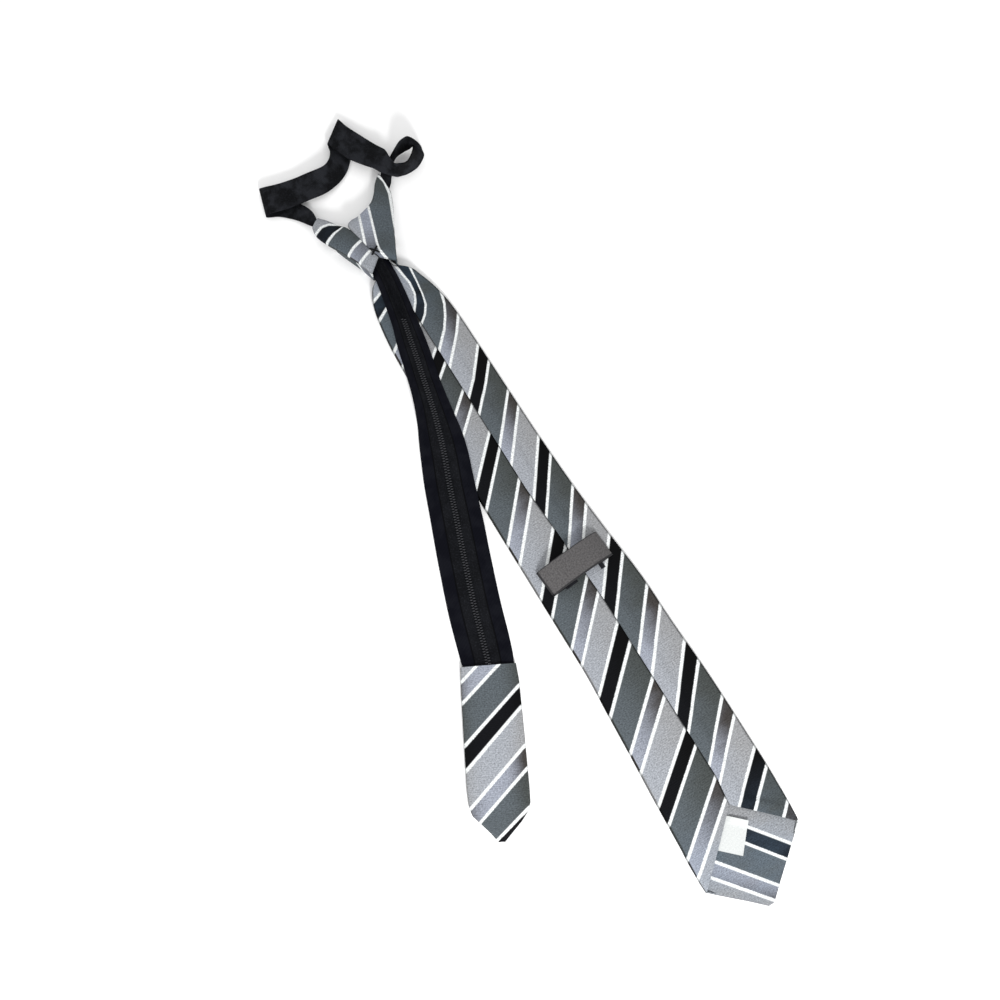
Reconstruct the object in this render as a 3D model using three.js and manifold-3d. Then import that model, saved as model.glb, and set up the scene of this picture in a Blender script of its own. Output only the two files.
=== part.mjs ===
// Zipper necktie lying face down on a table, seen from its back.
// Millimetres, +Z up. The table is z = 0. The blade points to -Y, the knot and neck loop to +Y.
import * as THREE from 'three';
import { mergeVertices } from 'three/addons/utils/BufferGeometryUtils.js';
import Module from 'manifold-3d';

// Cloth walls and the clearance that touching pieces keep
const CLOTH = 1.0;
const GAP = 0.3;
const LINING = 0.8;
const LABEL_CLOTH = 0.7;
const TAPE = 1.0;
const NECK_CLOTH = 1.2;

// Blade: a folded envelope with two back flaps, open at its pointed tip
const BLADE_LENGTH = 540;
const BLADE_WIDTH = 80;
const BLADE_HOLLOW = 1.6;
const TIP_POINT_Y = -31;
const OPEN_TOP_X = 2;
const OPEN_TOP_Y = 38;
const LEFT_CORNER_Y = -1;
const RIGHT_CORNER_Y = 5;
const FLAP_OVERLAP = 8;
const HEM = 0.4;

// Lining and sewn labels
const LINING_TOP_Y = 62;
const CARE_LABEL_WIDTH = 17;
const CARE_LABEL_LENGTH = 23.5;
const CARE_LABEL_TURN = -0.75;
const KEEPER_WIDTH = 53;
const KEEPER_HEIGHT = 21;
const KEEPER_FOOT = 11;
const KEEPER_SLOT = 5.6;
const KEEPER_Y = 233.5;
const KEEPER_TURN = 0.08;

// Knot: a front wrap under two sleeves that meet in a V
const KNOT_BOTTOM_Y = TIP_POINT_Y + BLADE_LENGTH - 3;
const KNOT_HEIGHT = 40;
const KNOT_WIDTH = 52;
const KNOT_THICKNESS = 17.5;
const WRAP_RIM = 11.6;
const SLEEVE_THICKNESS = 4.8;

// Zipper strip and the tail sleeve at its end
const STRIP_WIDTH = 38.5;
const STRIP_RUN = 340;
const STRIP_REACH = 93;
const STRIP_TOP_Y = KNOT_BOTTOM_Y + 26;
const STRIP_END = 0.99;
const TAPE_STEPS = 46;
const TAPE_SLIT = 1.2;
const GATHER_HEIGHT = 3.6;
const DRAPE = 11;
const COIL_WIDTH = 4.4;
const COIL_NECK = 3.0;
const COIL_HEIGHT = 1.1;
const COIL_RIB = 0.6;
const TOOTH_PITCH = 2.2;
const COIL_START = 0.2;
const COIL_END = 0.945;
const TAIL_LENGTH = 120;
const TAIL_WIDTH = 42;
const TAIL_HOLLOW = 1.7;
const TAIL_TURN = 0.462;
const TAIL_GRIP = 9;

// Neck band: one ribbon that leaves the left sleeve, folds twice, curls and enters the right one
const NECK_SPAN = 140;
const NECK_DEPTH = 90;
const NECK_RISE = 20;
const NECK_START_Y = KNOT_BOTTOM_Y + 52;

// Thread cross at the point of the V
const TACK_LENGTH = 9;
const TACK_THREAD = 1.2;

const flapTop = BLADE_HOLLOW + 2 * CLOTH;
const seamTop = flapTop + GAP + CLOTH;
const foldRadius = (BLADE_HOLLOW + CLOTH) / 2;

// Colours, roughness and metalness of each piece
const cloth = (color, roughness = 0.6) => new THREE.MeshStandardMaterial({ color, roughness, metalness: 0 });

// Blade edges: along is the share of the length from the tip point, left and right are
// shares of half the width, lift is the share of the knot's thickness it has risen.
const BLADE_SECTIONS = [
  { along: 0.003, left: -0.285, right: -0.165, lift: 0 },
  { along: 0.02, left: -0.53, right: 0.12, lift: 0 },
  { along: 0.039, left: -0.82, right: 0.455, lift: 0 },
  { along: 0.056, left: -1.075, right: 0.745, lift: 0 },
  { along: 0.067, left: -1.08, right: 0.935, lift: 0 },
  { along: 0.08, left: -1.075, right: 0.95, lift: 0 },
  { along: 0.096, left: -1.07, right: 0.965, lift: 0 },
  { along: 0.113, left: -1.05, right: 0.975, lift: 0 },
  { along: 0.128, left: -1.04, right: 0.985, lift: 0 },
  { along: 0.15, left: -1.025, right: 0.995, lift: 0 },
  { along: 0.187, left: -1.0, right: 1.0, lift: 0 },
  { along: 0.243, left: -0.95, right: 1.005, lift: 0 },
  { along: 0.298, left: -0.91, right: 0.995, lift: 0 },
  { along: 0.354, left: -0.865, right: 0.965, lift: 0 },
  { along: 0.428, left: -0.862, right: 0.95, lift: 0 },
  { along: 0.502, left: -0.862, right: 0.87, lift: 0 },
  { along: 0.576, left: -0.86, right: 0.8, lift: 0 },
  { along: 0.669, left: -0.845, right: 0.755, lift: 0 },
  { along: 0.761, left: -0.82, right: 0.74, lift: 0 },
  { along: 0.835, left: -0.795, right: 0.73, lift: 0 },
  { along: 0.891, left: -0.76, right: 0.715, lift: 0 },
  { along: 0.919, left: -0.72, right: 0.68, lift: 0.01 },
  { along: 0.946, left: -0.66, right: 0.6, lift: 0.04 },
  { along: 0.965, left: -0.585, right: 0.51, lift: 0.08 },
  { along: 0.983, left: -0.44, right: 0.34, lift: 0.14 },
  { along: 0.992, left: -0.29, right: 0.145, lift: 0.15 },
  { along: 1.0, left: -0.27, right: 0.14, lift: 0.15 },
  { along: 1.03, left: -0.22, right: 0.14, lift: 0.15 },
];

// Coil line of the strip: down is the share of its run, aside the share of its reach to the
// left, squeeze the share of the full width that shows, gather the share of the fold height.
const STRIP_ROUTE = [
  { down: 0, aside: 0.03, squeeze: 0.4, gather: 0.7 },
  { down: 0.06, aside: 0.045, squeeze: 0.41, gather: 0.75 },
  { down: 0.1, aside: 0.055, squeeze: 0.44, gather: 0.9 },
  { down: 0.15, aside: 0.08, squeeze: 0.48, gather: 1 },
  { down: 0.21, aside: 0.12, squeeze: 0.51, gather: 0.95 },
  { down: 0.26, aside: 0.16, squeeze: 0.58, gather: 0.85 },
  { down: 0.31, aside: 0.2, squeeze: 0.6, gather: 0.7 },
  { down: 0.35, aside: 0.235, squeeze: 0.61, gather: 0.55 },
  { down: 0.39, aside: 0.268, squeeze: 0.64, gather: 0.4 },
  { down: 0.44, aside: 0.315, squeeze: 0.74, gather: 0.25 },
  { down: 0.49, aside: 0.37, squeeze: 0.87, gather: 0.12 },
  { down: 0.53, aside: 0.42, squeeze: 0.93, gather: 0 },
  { down: 0.58, aside: 0.49, squeeze: 0.96, gather: 0 },
  { down: 0.65, aside: 0.58, squeeze: 0.98, gather: 0 },
  { down: 0.75, aside: 0.71, squeeze: 1, gather: 0 },
  { down: 0.85, aside: 0.835, squeeze: 1, gather: 0 },
  { down: 0.95, aside: 0.945, squeeze: 0.96, gather: 0 },
  { down: 0.965, aside: 0.965, squeeze: 0.92, gather: 0 },
  { down: 0.99, aside: 1.01, squeeze: 0.9, gather: 0 },
];

// Tail sleeve: along is the share of its length, left and right shares of half its width
const TAIL_SECTIONS = [
  { along: 0, left: -0.95, right: 0.93 },
  { along: 0.1, left: -0.97, right: 0.99 },
  { along: 0.4, left: -1.0, right: 1.02 },
  { along: 0.7, left: -1.01, right: 1.04 },
  { along: 0.79, left: -0.98, right: 1.03 },
  { along: 0.84, left: -0.88, right: 0.92 },
  { along: 0.89, left: -0.6, right: 0.69 },
  { along: 0.94, left: -0.33, right: 0.4 },
  { along: 0.99, left: -0.1, right: 0.12 },
];

// Sleeves of the knot. Each row joins the outer edge to the inner edge, all as shares:
// x of the knot's width, y of its height above its lower end, base of its thickness.
const LEFT_SLEEVE = [
  { outerX: -0.65, outerY: 1.53, innerX: -0.49, innerY: 1.68, base: 0.22 },
  { outerX: -0.67, outerY: 1.35, innerX: -0.39, innerY: 1.5, base: 0.3 },
  { outerX: -0.6, outerY: 1.03, innerX: -0.29, innerY: 1.27, base: 0.42 },
  { outerX: -0.48, outerY: 0.68, innerX: -0.235, innerY: 1.1, base: 0.56 },
  { outerX: -0.385, outerY: 0.4, innerX: -0.185, innerY: 0.78, base: 0.66 },
  { outerX: -0.325, outerY: 0.17, innerX: -0.135, innerY: 0.51, base: 0.7 },
  { outerX: -0.27, outerY: -0.02, innerX: -0.065, innerY: 0.22, base: 0.72 },
];
const RIGHT_SLEEVE = [
  { outerX: 0.67, outerY: 1.45, innerX: 0.67, innerY: 1.96, base: 0.14 },
  { outerX: 0.63, outerY: 1.3, innerX: 0.54, innerY: 1.79, base: 0.2 },
  { outerX: 0.59, outerY: 1.16, innerX: 0.41, innerY: 1.55, base: 0.28 },
  { outerX: 0.55, outerY: 1.03, innerX: 0.27, innerY: 1.38, base: 0.36 },
  { outerX: 0.5, outerY: 0.91, innerX: 0.01, innerY: 1.25, base: 0.44 },
  { outerX: 0.43, outerY: 0.73, innerX: -0.11, innerY: 1.22, base: 0.52 },
  { outerX: 0.36, outerY: 0.56, innerX: -0.19, innerY: 1.12, base: 0.6 },
  { outerX: 0.3, outerY: 0.38, innerX: -0.155, innerY: 0.8, base: 0.67 },
  { outerX: 0.23, outerY: 0.19, innerX: -0.105, innerY: 0.54, base: 0.71 },
  { outerX: 0.16, outerY: 0, innerX: -0.025, innerY: 0.25, base: 0.72 },
];

// Front wrap of the knot: width and rim height as shares, along its height
const WRAP_SECTIONS = [
  { along: 0, left: -0.27, right: 0.16, rim: 1 },
  { along: 0.3, left: -0.34, right: 0.26, rim: 0.93 },
  { along: 0.6, left: -0.43, right: 0.37, rim: 0.76 },
  { along: 0.85, left: -0.5, right: 0.46, rim: 0.58 },
  { along: 1, left: -0.53, right: 0.5, rim: 0.5 },
];

// Neck band: two edges, near and far. x is a share of the span, y of the depth above the
// band's start and z of the rise.
const NECK_ROUTE = [
  { nearX: -0.224, nearY: 0.039, nearZ: 0.38, farX: -0.171, farY: 0.072, farZ: 0.38 },
  { nearX: -0.23, nearY: 0.114, nearZ: 0.31, farX: -0.193, farY: 0.157, farZ: 0.31 },
  { nearX: -0.249, nearY: 0.17, nearZ: 0.24, farX: -0.189, farY: 0.241, farZ: 0.27 },
  { nearX: -0.289, nearY: 0.28, nearZ: 0.1, farX: -0.215, farY: 0.37, farZ: 0.2 },
  { nearX: -0.35, nearY: 0.384, nearZ: 0.05, farX: -0.275, farY: 0.49, farZ: 0.1 },
  { nearX: -0.395, nearY: 0.425, nearZ: 0.05, farX: -0.335, farY: 0.6, farZ: 0.06 },
  { nearX: -0.426, nearY: 0.437, nearZ: 0.16, farX: -0.378, farY: 0.713, farZ: 0.17 },
  { nearX: -0.405, nearY: 0.43, nearZ: 0.32, farX: -0.349, farY: 0.684, farZ: 0.32 },
  { nearX: -0.32, nearY: 0.395, nearZ: 0.36, farX: -0.28, farY: 0.65, farZ: 0.34 },
  { nearX: -0.21, nearY: 0.37, nearZ: 0.36, farX: -0.19, farY: 0.625, farZ: 0.34 },
  { nearX: -0.09, nearY: 0.365, nearZ: 0.26, farX: -0.1, farY: 0.605, farZ: 0.4 },
  { nearX: 0.017, nearY: 0.404, nearZ: 0.12, farX: -0.015, farY: 0.58, farZ: 0.5 },
  { nearX: 0.086, nearY: 0.46, nearZ: 0.06, farX: 0.045, farY: 0.615, farZ: 0.5 },
  { nearX: 0.137, nearY: 0.529, nearZ: 0.05, farX: 0.078, farY: 0.69, farZ: 0.4 },
  { nearX: 0.2, nearY: 0.66, nearZ: 0.07, farX: 0.087, farY: 0.76, farZ: 0.24 },
  { nearX: 0.227, nearY: 0.912, nearZ: 0.07, farX: 0.092, farY: 0.785, farZ: 0.16 },
  { nearX: 0.226, nearY: 0.974, nearZ: 0.2, farX: 0.096, farY: 0.79, farZ: 0.3 },
  { nearX: 0.237, nearY: 0.838, nearZ: 0.42, farX: 0.105, farY: 0.68, farZ: 0.46 },
  { nearX: 0.275, nearY: 0.69, nearZ: 0.46, farX: 0.145, farY: 0.53, farZ: 0.48 },
  { nearX: 0.315, nearY: 0.53, nearZ: 0.55, farX: 0.19, farY: 0.42, farZ: 0.5 },
  { nearX: 0.345, nearY: 0.4, nearZ: 0.7, farX: 0.235, farY: 0.32, farZ: 0.55 },
  { nearX: 0.343, nearY: 0.344, nearZ: 0.72, farX: 0.259, farY: 0.259, farZ: 0.5 },
  { nearX: 0.337, nearY: 0.236, nearZ: 0.88, farX: 0.315, farY: 0.217, farZ: 0.2 },
  { nearX: 0.362, nearY: 0.193, nearZ: 0.95, farX: 0.351, farY: 0.2, farZ: 0.075 },
  { nearX: 0.398, nearY: 0.175, nearZ: 0.95, farX: 0.404, farY: 0.185, farZ: 0.075 },
  { nearX: 0.43, nearY: 0.197, nearZ: 0.95, farX: 0.463, farY: 0.195, farZ: 0.075 },
  { nearX: 0.457, nearY: 0.236, nearZ: 0.9, farX: 0.511, farY: 0.233, farZ: 0.09 },
  { nearX: 0.483, nearY: 0.295, nearZ: 0.72, farX: 0.539, farY: 0.272, farZ: 0.22 },
  { nearX: 0.497, nearY: 0.355, nearZ: 0.45, farX: 0.533, farY: 0.299, farZ: 0.6 },
  { nearX: 0.481, nearY: 0.38, nearZ: 0.2, farX: 0.511, farY: 0.337, farZ: 0.9 },
  { nearX: 0.448, nearY: 0.396, nearZ: 0.08, farX: 0.479, farY: 0.396, farZ: 0.95 },
  { nearX: 0.409, nearY: 0.391, nearZ: 0.07, farX: 0.434, farY: 0.392, farZ: 0.9 },
  { nearX: 0.375, nearY: 0.366, nearZ: 0.07, farX: 0.395, farY: 0.388, farZ: 0.62 },
  { nearX: 0.351, nearY: 0.322, nearZ: 0.07, farX: 0.361, farY: 0.384, farZ: 0.35 },
  { nearX: 0.331, nearY: 0.267, nearZ: 0.1, farX: 0.328, farY: 0.352, farZ: 0.2 },
  { nearX: 0.302, nearY: 0.203, nearZ: 0.21, farX: 0.275, farY: 0.307, farZ: 0.21 },
  { nearX: 0.279, nearY: 0.149, nearZ: 0.255, farX: 0.248, farY: 0.257, farZ: 0.255 },
  { nearX: 0.245, nearY: 0.1, nearZ: 0.29, farX: 0.22, farY: 0.202, farZ: 0.28 },
  { nearX: 0.229, nearY: 0.082, nearZ: 0.335, farX: 0.175, farY: 0.113, farZ: 0.335 },
  { nearX: 0.199, nearY: 0.004, nearZ: 0.4, farX: 0.138, farY: 0.031, farZ: 0.4 },
];

const point = (x, y, z) => new THREE.Vector3(x, y, z);
const blend = (from, to, share) => from + (to - from) * share;
const ramp = (low, high, value) => THREE.MathUtils.smoothstep(value, low, high);

// Value of one column of a table at a place along it, with straight stretches between rows
function readTable(rows, key, column, at) {
  const last = rows.length - 2;
  let row = 0;
  while (row < last && rows[row + 1][key] < at) row += 1;
  const share = (at - rows[row][key]) / (rows[row + 1][key] - rows[row][key]);
  return blend(rows[row][column], rows[row + 1][column], THREE.MathUtils.clamp(share, 0, 1));
}

// Blade edges, seam and lift at a height along the tie
function bladeAt(y) {
  const along = (y - TIP_POINT_Y) / BLADE_LENGTH;
  return {
    left: readTable(BLADE_SECTIONS, 'along', 'left', along) * BLADE_WIDTH / 2,
    right: readTable(BLADE_SECTIONS, 'along', 'right', along) * BLADE_WIDTH / 2,
    lift: readTable(BLADE_SECTIONS, 'along', 'lift', along) * KNOT_THICKNESS,
    seam: OPEN_TOP_X,
  };
}

// Geometry from a list of corner points and triangles, wound so that its faces point out
function solidOf(points, triangles) {
  let volume = 0;
  for (const [a, b, c] of triangles) volume += points[a].dot(points[b].clone().cross(points[c]));
  const wound = volume < 0 ? triangles.map(([a, b, c]) => [a, c, b]) : triangles;
  const geometry = new THREE.BufferGeometry().setFromPoints(points);
  geometry.setIndex(wound.flat());
  geometry.computeVertexNormals();
  return geometry;
}

// A sheet of cloth given as a grid of points on its middle surface. ring closes each row.
function clothSheet(grid, thickness, ring = false) {
  const rows = grid.length;
  const columns = grid[0].length;
  const at = (i, j) => {
    const row = THREE.MathUtils.clamp(i, 0, rows - 1);
    const column = ring ? (j + columns) % columns : THREE.MathUtils.clamp(j, 0, columns - 1);
    return grid[row][column];
  };
  const points = [];
  for (let i = 0; i < rows; i += 1) {
    for (let j = 0; j < columns; j += 1) {
      const along = at(i + 1, j).clone().sub(at(i - 1, j));
      const across = at(i, j + 1).clone().sub(at(i, j - 1));
      const offset = along.cross(across).normalize().multiplyScalar(thickness / 2);
      points.push(at(i, j).clone().add(offset), at(i, j).clone().sub(offset));
    }
  }
  const top = (i, j) => 2 * (i * columns + (j % columns));
  const under = (i, j) => top(i, j) + 1;
  const triangles = [];
  const quad = (a, b, c, d) => triangles.push([a, b, c], [a, c, d]);
  const strips = ring ? columns : columns - 1;
  for (let i = 0; i < rows - 1; i += 1) {
    for (let j = 0; j < strips; j += 1) {
      quad(top(i, j), top(i + 1, j), top(i + 1, j + 1), top(i, j + 1));
      quad(under(i, j + 1), under(i + 1, j + 1), under(i + 1, j), under(i, j));
    }
    if (!ring) {
      quad(top(i, 0), under(i, 0), under(i + 1, 0), top(i + 1, 0));
      quad(under(i, columns - 1), top(i, columns - 1), top(i + 1, columns - 1), under(i + 1, columns - 1));
    }
  }
  for (let j = 0; j < strips; j += 1) {
    quad(top(0, j), top(0, j + 1), under(0, j + 1), under(0, j));
    quad(under(rows - 1, j), under(rows - 1, j + 1), top(rows - 1, j + 1), top(rows - 1, j));
  }
  return solidOf(points, triangles);
}

// Half circle of a fold in the x, z plane, without its two end points
function foldArc(x, z, radius, from, to, steps) {
  const arc = [];
  for (let step = 1; step < steps; step += 1) {
    const angle = blend(from, to, step / steps);
    arc.push([x + radius * Math.cos(angle), z + radius * Math.sin(angle)]);
  }
  return arc;
}

// Section of a flattened tube from x = low to high, resting at z = base
function flatTube(low, high, base, thickness, wall, crown = 0) {
  const radius = Math.min((thickness - wall) / 2, (high - low) / 2.2 - wall / 2);
  const floor = base + wall / 2;
  const inset = radius + wall / 2;
  const section = [];
  const shares = [0, 0.3, 0.7, 1];
  for (const share of shares) section.push([blend(low + inset, high - inset, share), floor]);
  section.push(...foldArc(high - inset, floor + radius, radius, -Math.PI / 2, Math.PI / 2, 3));
  for (const share of shares) {
    const bulge = crown * Math.sin(Math.PI * share);
    section.push([blend(high - inset, low + inset, share), floor + 2 * radius + bulge]);
  }
  section.push(...foldArc(low + inset, floor + radius, radius, Math.PI / 2, 3 * Math.PI / 2, 3));
  return section;
}

// Blade shell: left flap, left fold, front panel, right fold, right flap over the left one
function bladeShell() {
  const grid = BLADE_SECTIONS.map(({ along }) => {
    const y = TIP_POINT_Y + along * BLADE_LENGTH;
    const { left, right, lift, seam } = bladeAt(y);
    const low = left + foldRadius + CLOTH / 2;
    const high = right - foldRadius - CLOTH / 2;
    const openLeft = (y - LEFT_CORNER_Y) / (OPEN_TOP_Y - LEFT_CORNER_Y);
    const openRight = (y - RIGHT_CORNER_Y) / (OPEN_TOP_Y - RIGHT_CORNER_Y);
    const overlap = FLAP_OVERLAP * ramp(OPEN_TOP_Y, OPEN_TOP_Y + 3 * FLAP_OVERLAP, y);
    const leftEnd = openLeft < 1 ? blend(low, seam, Math.max(openLeft, 0)) : seam + overlap;
    const rightEnd = openRight < 1 ? blend(high, seam, Math.max(openRight, 0)) : seam;
    const raised = (CLOTH + GAP) * ramp(RIGHT_CORNER_Y, OPEN_TOP_Y - 4, y);
    const flapLeft = Math.min(Math.max(leftEnd, low + HEM), high - HEM);
    const flapRight = Math.max(Math.min(rightEnd, high - HEM), low + HEM);
    const step = Math.min(flapRight + FLAP_OVERLAP + 1.5, blend(flapRight, high, 0.6));
    const down = Math.min(step + 4, blend(flapRight, high, 0.85));
    const flat = CLOTH / 2;
    const flap = flat + 2 * foldRadius;
    const section = [
      [flapLeft, flap],
      [blend(flapLeft, low, 0.5), flap],
      [low, flap],
      ...foldArc(low, flat + foldRadius, foldRadius, Math.PI / 2, 3 * Math.PI / 2, 4),
      [low, flat],
      [blend(low, high, 0.2), flat],
      [blend(low, high, 0.8), flat],
      [high, flat],
      ...foldArc(high, flat + foldRadius, foldRadius, -Math.PI / 2, Math.PI / 2, 4),
      [high, flap],
      [down, flap],
      [step, flap + raised],
      [flapRight, flap + raised],
    ];
    return section.map(([x, z]) => point(x, y, z + lift));
  });
  return clothSheet(grid, CLOTH);
}

// Lining of the tip, inside the envelope
function tipLining() {
  const inset = foldRadius + CLOTH + GAP;
  const start = TIP_POINT_Y + 8;
  const grid = [];
  for (const share of [0, 0.12, 0.24, 0.36, 0.5, 0.75, 1]) {
    const y = blend(start, LINING_TOP_Y, share);
    const { left, right } = bladeAt(y);
    const z = CLOTH + GAP + LINING / 2;
    const low = Math.min(left + inset, (left + right) / 2 - 1);
    const high = Math.max(right - inset, (left + right) / 2 + 1);
    grid.push([0, 0.5, 1].map((across) => point(blend(low, high, across), y, z)));
  }
  return clothSheet(grid, LINING);
}

// Care label, a plain tab on the lining
function careLabel() {
  const half = CARE_LABEL_WIDTH / 2;
  const grid = [-0.5, 0, 0.5].map((share) => (
    [-half, 0, half].map((x) => point(x, share * CARE_LABEL_LENGTH, 0))
  ));
  return clothSheet(grid, LABEL_CLOTH);
}

// Keeper loop: an arched band on two folded feet, open along Y
function keeperLoop() {
  const half = KEEPER_WIDTH / 2;
  const fold = LABEL_CLOTH;
  const foot = GAP + LABEL_CLOTH / 2;
  const arch = seamTop - flapTop + GAP + KEEPER_SLOT + LABEL_CLOTH / 2;
  const leg = [
    [half - KEEPER_FOOT, foot],
    [half - fold, foot],
    [half, foot + fold],
    [half - fold, foot + 2 * fold],
    [half * 0.8, blend(foot, arch, 0.62)],
    [half * 0.55, blend(foot, arch, 0.93)],
  ];
  const rightSide = leg.map(([x, z]) => [x, z]).reverse();
  const section = [...leg.map(([x, z]) => [-x, z]), [0, arch], ...rightSide];
  const grid = [-0.5, 0, 0.5].map((share) => section.map(([x, z]) => point(x, share * KEEPER_HEIGHT, z)));
  return clothSheet(grid, LABEL_CLOTH);
}

// Front wrap of the knot, open towards the back
function knotWrap() {
  const grid = WRAP_SECTIONS.map(({ along, left, right, rim }) => {
    const y = KNOT_BOTTOM_Y + along * KNOT_HEIGHT;
    const flat = CLOTH / 2;
    const radius = 3;
    const low = left * KNOT_WIDTH + flat;
    const high = right * KNOT_WIDTH - flat;
    const top = rim * WRAP_RIM;
    const section = [
      [low, top],
      [low, blend(radius + flat, top, 0.5)],
      [low, radius + flat],
      ...foldArc(low + radius, radius + flat, radius, Math.PI, 3 * Math.PI / 2, 3),
      [low + radius, flat],
      [(low + high) / 2, flat],
      [high - radius, flat],
      ...foldArc(high - radius, radius + flat, radius, -Math.PI / 2, 0, 3),
      [high, radius + flat],
      [high, blend(radius + flat, top, 0.5)],
      [high, top],
    ];
    return section.map(([x, z]) => point(x, y, z));
  });
  return clothSheet(grid, CLOTH);
}

// One sleeve of the knot: a flattened tube between an outer and an inner edge
function knotSleeve(rows) {
  const grid = rows.map(({ outerX, outerY, innerX, innerY, base }) => {
    const outer = point(outerX * KNOT_WIDTH, KNOT_BOTTOM_Y + outerY * KNOT_HEIGHT, 0);
    const inner = point(innerX * KNOT_WIDTH, KNOT_BOTTOM_Y + innerY * KNOT_HEIGHT, 0);
    const width = outer.distanceTo(inner);
    const section = flatTube(0, width, base * KNOT_THICKNESS, SLEEVE_THICKNESS, CLOTH, 0.5);
    return section.map(([x, z]) => outer.clone().lerp(inner, x / width).setZ(z));
  });
  return clothSheet(grid, CLOTH, true);
}

// Frame of the strip at a share of its run: coil point, direction across and fold state
function stripAt(down) {
  const read = (column, at) => readTable(STRIP_ROUTE, 'down', column, at);
  const place = (at) => point(-read('aside', at) * STRIP_REACH, STRIP_TOP_Y - at * STRIP_RUN, 0);
  const below = place(Math.min(down + 0.02, STRIP_END));
  const ahead = below.sub(place(Math.max(down - 0.02, 0))).normalize();
  return {
    centre: place(down),
    across: point(-ahead.y, ahead.x, 0),
    squeeze: read('squeeze', down),
    gather: read('gather', down),
  };
}

// Height on which the strip rests: over the blade, down its left edge and on the table,
// and up into the tail sleeve at its end
function restAt(x, y, down) {
  const blade = bladeAt(y);
  const overBlade = ramp(blade.left - DRAPE, blade.left - 2, x);
  const overSeam = ramp(blade.seam - 12, blade.seam - 5, x);
  const back = blend(flapTop, seamTop, overSeam) + GAP + blade.lift;
  const inTail = (CLOTH + GAP) * ramp(0.93, 0.962, down);
  return Math.max(back * overBlade, inTail);
}

// Point on the middle of the strip's cloth, with side from -1 to 1 across it
function stripPoint(down, side) {
  const { centre, across, squeeze, gather } = stripAt(down);
  const spread = side * squeeze * STRIP_WIDTH / 2;
  const place = centre.clone().addScaledVector(across, spread);
  const ridge = gather * GATHER_HEIGHT * Math.sin(Math.PI * Math.abs(side)) ** 2;
  return place.setZ(restAt(place.x, place.y, down) + TAPE / 2 + ridge);
}

// One half of the zipper's tape, from the coil line to its outer edge
function zipperTape(side) {
  const grid = [];
  for (let step = 0; step <= TAPE_STEPS; step += 1) {
    const down = blend(0, STRIP_END, step / TAPE_STEPS);
    const slit = TAPE_SLIT / (stripAt(down).squeeze * STRIP_WIDTH);
    const row = [slit, 0.15, 0.35, 0.5, 0.65, 0.82, 1].map((share) => stripPoint(down, side * share));
    grid.push(row);
  }
  return clothSheet(grid, TAPE);
}

// Closed coil of the zipper: a rib with a wide and a narrow section for each tooth
function zipperCoil() {
  const teeth = Math.round((COIL_END - COIL_START) * STRIP_RUN / TOOTH_PITCH);
  const points = [];
  const triangles = [];
  for (let step = 0; step <= 2 * teeth; step += 1) {
    const down = blend(COIL_START, COIL_END, step / (2 * teeth));
    const { centre, across } = stripAt(down);
    const wide = step % 2 === 0;
    const half = (wide ? COIL_WIDTH : COIL_NECK) / 2;
    const rise = (wide ? COIL_HEIGHT : COIL_RIB) + GAP;
    const side = 2 * half / (stripAt(down).squeeze * STRIP_WIDTH);
    const base = Math.max(...[-side, 0, side].map((share) => stripPoint(down, share).z)) + TAPE / 2;
    for (const [share, z] of [[-1, GAP], [1, GAP], [1, rise], [-1, rise]]) {
      points.push(centre.clone().addScaledVector(across, share * half).setZ(base + z));
    }
  }
  const quad = (a, b, c, d) => triangles.push([a, b, c], [a, c, d]);
  for (let step = 0; step < 2 * teeth; step += 1) {
    for (let side = 0; side < 4; side += 1) {
      const next = (side + 1) % 4;
      quad(4 * step + side, 4 * step + next, 4 * step + 4 + next, 4 * step + 4 + side);
    }
  }
  const last = 8 * teeth;
  quad(0, 3, 2, 1);
  quad(last, last + 1, last + 2, last + 3);
  return solidOf(points, triangles);
}

// Tail sleeve along its own -Y, mouth at its origin
function tailSleeve() {
  const thickness = TAIL_HOLLOW + 2 * CLOTH;
  const grid = TAIL_SECTIONS.map(({ along, left, right }) => {
    const section = flatTube(left * TAIL_WIDTH / 2, right * TAIL_WIDTH / 2, 0, thickness, CLOTH, 0.2);
    return section.map(([x, z]) => point(x, -along * TAIL_LENGTH, z));
  });
  return clothSheet(grid, CLOTH, true);
}

// Neck band: a ribbon ruled between two smooth edges
function neckBand() {
  const edge = (side) => new THREE.CatmullRomCurve3(NECK_ROUTE.map((row) => point(
    row[`${side}X`] * NECK_SPAN,
    NECK_START_Y + row[`${side}Y`] * NECK_DEPTH,
    row[`${side}Z`] * NECK_RISE,
  )), false, 'centripetal');
  const near = edge('near');
  const far = edge('far');
  const steps = 2 * (NECK_ROUTE.length - 1);
  const grid = [];
  for (let step = 0; step <= steps; step += 1) {
    const from = near.getPoint(step / steps);
    const to = far.getPoint(step / steps);
    grid.push([0, 0.33, 0.67, 1].map((share) => from.clone().lerp(to, share)));
  }
  return clothSheet(grid, NECK_CLOTH);
}

// Two crossed threads joined into one solid
function threadCross(manifold) {
  const solid = (geometry) => {
    const bare = geometry.clone();
    bare.deleteAttribute('normal');
    bare.deleteAttribute('uv');
    const merged = mergeVertices(bare);
    return new manifold.Manifold(new manifold.Mesh({
      numProp: 3,
      vertProperties: new Float32Array(merged.attributes.position.array),
      triVerts: new Uint32Array(merged.index.array),
    }));
  };
  const bar = (turn) => new THREE.BoxGeometry(TACK_LENGTH, TACK_THREAD, TACK_THREAD).rotateZ(turn);
  const joined = solid(bar(0.6)).add(solid(bar(-0.9))).getMesh();
  const geometry = new THREE.BufferGeometry();
  geometry.setAttribute('position', new THREE.BufferAttribute(joined.vertProperties, 3));
  geometry.setIndex(new THREE.BufferAttribute(joined.triVerts, 1));
  geometry.computeVertexNormals();
  return geometry;
}

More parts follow.
